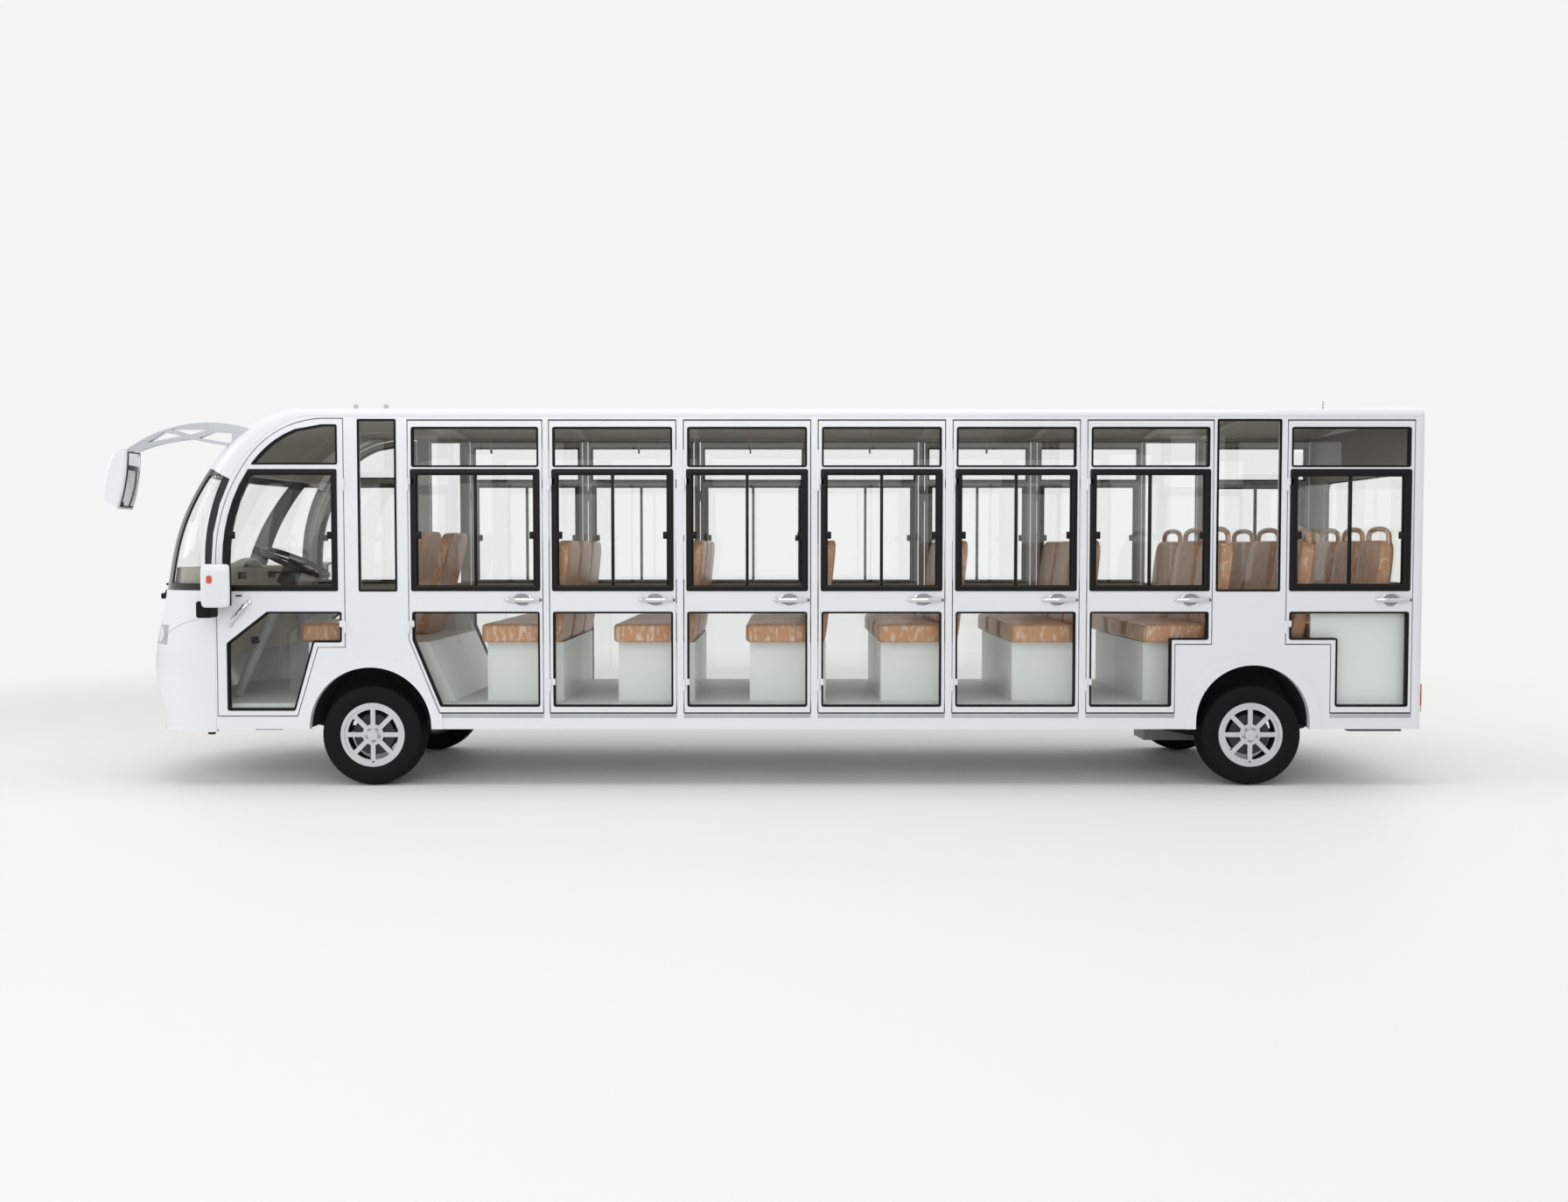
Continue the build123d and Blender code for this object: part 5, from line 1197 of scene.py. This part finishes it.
bezel = {"operation": "COMPARE", 1: lamp_radius + 0.001, 2: 0.003}
rim_line = add(tree, "Math", bezel, i0=nearest.outputs[0])
flutes = add(tree, "Math", {"operation": "MULTIPLY", 1: flutes_per_metre}, i0=nearest.outputs[0])
flutes = add(tree, "Math", {"operation": "SINE"}, i0=flutes.outputs[0])
silvers = {"Color1": linear("#a9b0b6"), "Color2": linear("#eef1f3")}
colour = add(tree, "MixRGB", silvers, Fac=bowl.outputs[0])
dark_line = {"Color2": linear("#2c2f33")}
colour = add(tree, "MixRGB", dark_line, Fac=rim_line.outputs[0], Color1=colour.outputs[0])
fluted = add(tree, "Bump", {"Distance": 0.001, "Strength": 0.6}, Height=flutes.outputs[0])
lamp_cover = {"Metallic": 0.7, "Roughness": 0.12, "Coat Weight": 1.0, "Coat Roughness": 0.02}
surface = add(tree, "BsdfPrincipled", lamp_cover, Base_Color=colour.outputs[0], Normal=fluted.outputs[0])
tree.links.new(surface.outputs[0], out.inputs["Surface"])
dress(headlamp_cover, "headlamps")

amber_from_z, clear_to_z = 0.52, 0.44
tail_cover, tree, out = new_tree("ribbed_red_acrylic")
where = add(tree, "TexCoord").outputs["Object"]
height = add(tree, "SeparateXYZ", None, Vector=where).outputs["Z"]
top_field = add(tree, "Math", {"operation": "GREATER_THAN", 1: amber_from_z}, i0=height)
low_field = add(tree, "Math", {"operation": "LESS_THAN", 1: clear_to_z}, i0=height)
red_and_amber = {"Color1": linear("#c8342c"), "Color2": linear("#dd7a35")}
colour = add(tree, "MixRGB", red_and_amber, Fac=top_field.outputs[0])
clear_field = {"Color2": linear("#e6ddd8")}
colour = add(tree, "MixRGB", clear_field, Fac=low_field.outputs[0], Color1=colour.outputs[0])
ribs = add(tree, "Math", {"operation": "MULTIPLY", 1: ribs_per_metre}, i0=height)
ribs = add(tree, "Math", {"operation": "SINE"}, i0=ribs.outputs[0])
relief = add(tree, "Bump", {"Distance": 0.0008, "Strength": 0.6}, Height=ribs.outputs[0])
acrylic = {"Roughness": 0.14, "Coat Weight": 0.9, "Coat Roughness": 0.04, "Transmission Weight": 0.15}
surface = add(tree, "BsdfPrincipled", acrylic, Base_Color=colour.outputs[0], Normal=relief.outputs[0])
tree.links.new(surface.outputs[0], out.inputs["Surface"])
dress(tail_cover, "tail_lamps")

# Nose fittings
# Two black wipers park along the foot of the windscreen on stubby spindles, and a grey line of painted
# shade along a crease and a blank plate carrier mark the nose.

nose_heights = np.array([300, 560, 816, 1080, 1420, 1700])
nose_corner = np.array([400, 466, 445, 365, 272, 197.0])
nose_side = np.array([-876, -876, -876, -876, -864, -774.0])
half_width, bow_radius = 750.0, 2000.0


def nose_x(y, z, proud=0.0):
    """Station of the nose's skin: a shallow bow across the front that turns into an arc at each side."""
    corner, side = np.interp(z, nose_heights, nose_corner), np.interp(z, nose_heights, nose_side)
    turn = np.arcsin((half_width - corner) / (bow_radius - corner))
    join_x, join_y = side - corner * np.cos(turn), bow_radius * np.sin(turn)
    run = np.minimum(np.abs(y), join_y)
    bow = join_x + bow_radius * np.cos(turn) - np.sqrt(bow_radius**2 - run**2)
    arc = side - np.sqrt((corner**2 - (np.abs(y) - half_width + corner) ** 2).clip(0))
    return np.where(np.abs(y) <= join_y, bow, arc) - proud


def on_nose(y, z, proud=0.0):
    """Points on the nose's skin, or proud of it."""
    z = z + 0 * y
    return np.stack([nose_x(y, z, proud), y, z], -1)


# each wiper: its pivot's place across the bus, and its blade's reach past it
wipers = ((-430.0, 560.0), (110.0, 480.0))
pivot_z, blade_tail, blade_proud, blade_radius = 1040.0, 40, 14, 6.5
arm_share, arm_proud, arm_radius = 0.5, 26, 7.0
spindle_run, spindle_radius = (6, -20, -36), 17.0
blades, arms = [], []
for pivot_y, reach in wipers:
    y = np.linspace(pivot_y - blade_tail, pivot_y + reach, 15)
    blades.append(hose(on_nose(y, np.linspace(1108, 1126, 15), blade_proud), blade_radius, 8))
    arm_y = np.linspace(pivot_y, pivot_y + reach * arm_share, 7)
    arm_z = np.concatenate([[pivot_z], np.linspace(1070, 1117, 6)])
    arms.append(hose(on_nose(arm_y, arm_z, arm_proud), arm_radius, 8))
    x = float(nose_x(np.array(pivot_y), np.array(pivot_z)))
    arms.append(hose([(x + run, pivot_y, pivot_z) for run in spindle_run], spindle_radius, 16))
piece("wiper_blades", gather(blades), seal_rubber)
piece("wiper_arms", gather(arms), anodised_black)

# painted shade: a thin grey line laid along the crease in which the wing's swell meets the nose, from the
# door's seam down to the headlamp
crease_y, crease_z, crease_radius = np.linspace(-746, -560, 25), np.linspace(921, 764, 25), 1.6
pair("nose_crease_*", hose(on_nose(crease_y, crease_z), crease_radius, 8), grey_moulding_and_shade)

# plate carrier: heights and how proud of the skin, from the lower edge over the face to the upper edge
plate_y = np.linspace(-225, 225, 13)
plate_section = ((400, 0), (400, 8), (404, 10), (520, 10), (524, 8), (524, 0))
carrier = np.stack([on_nose(plate_y, z, proud) for z, proud in plate_section])
count = len(plate_y)
ends = [k * count for k in range(len(plate_section))]
carrier_faces = grid_faces(len(plate_section), count, True, False) + [ends, [k + count - 1 for k in ends]]
piece("front_plate_carrier", (carrier, carrier_faces), grey_moulding_and_shade)

# Roof and underside fittings
# Small grey vent caps and a whip aerial on the roof; black bars and a foot under the sills.

roof_y = -300.0
roof_z = 2123 - 34 * (roof_y / 706) ** 2
cap_places, cap_seat, cap_steps = (-206, -30), 6, 20
cap_height = np.array([0, 26, 34, 37.0])[:, None]
cap_radius = np.array([14, 14, 10, 3.0])[:, None]
turn = np.linspace(0, 2 * np.pi, cap_steps, endpoint=False)
caps = []
for x in cap_places:
    across = roof_y + cap_radius * np.sin(turn)
    upright = roof_z - cap_seat + cap_height + 0 * turn
    points = np.stack([x + cap_radius * np.cos(turn), across, upright], -1)
    caps.append((points, tube_faces(len(cap_height), cap_steps)))
piece("roof_vent_caps", gather(caps), grey_moulding_and_shade)

# (height over the roof) of each part's points: the whip, and the foot it stands in
aerial_x, whip_run, whip_radius = 5398.0, (-4, 20, 48), 1.8
aerial_foot_run, aerial_foot_radius = (-4, 2, 7), 8.0
aerial = [hose([(aerial_x, roof_y, roof_z + up) for up in whip_run], whip_radius, 8)]
aerial.append(hose([(aerial_x, roof_y, roof_z + up) for up in aerial_foot_run], aerial_foot_radius, 16))
piece("whip_aerial", gather(aerial), seal_rubber)

sill_z = 318.0
step_bar = (5385, 5678, -745, -690, sill_z - 14, sill_z + 1)
front_bar = (-640, -490, -742, -722, sill_z - 7, sill_z + 1)
nose_foot = (-905, -872, -735, -705, 284, 304)
under = [cuboid(*step_bar, 3), cuboid(*front_bar, 2), cuboid(*nose_foot, 3)]
pair("under_sill_bars_*", gather(under), chassis_enamel)
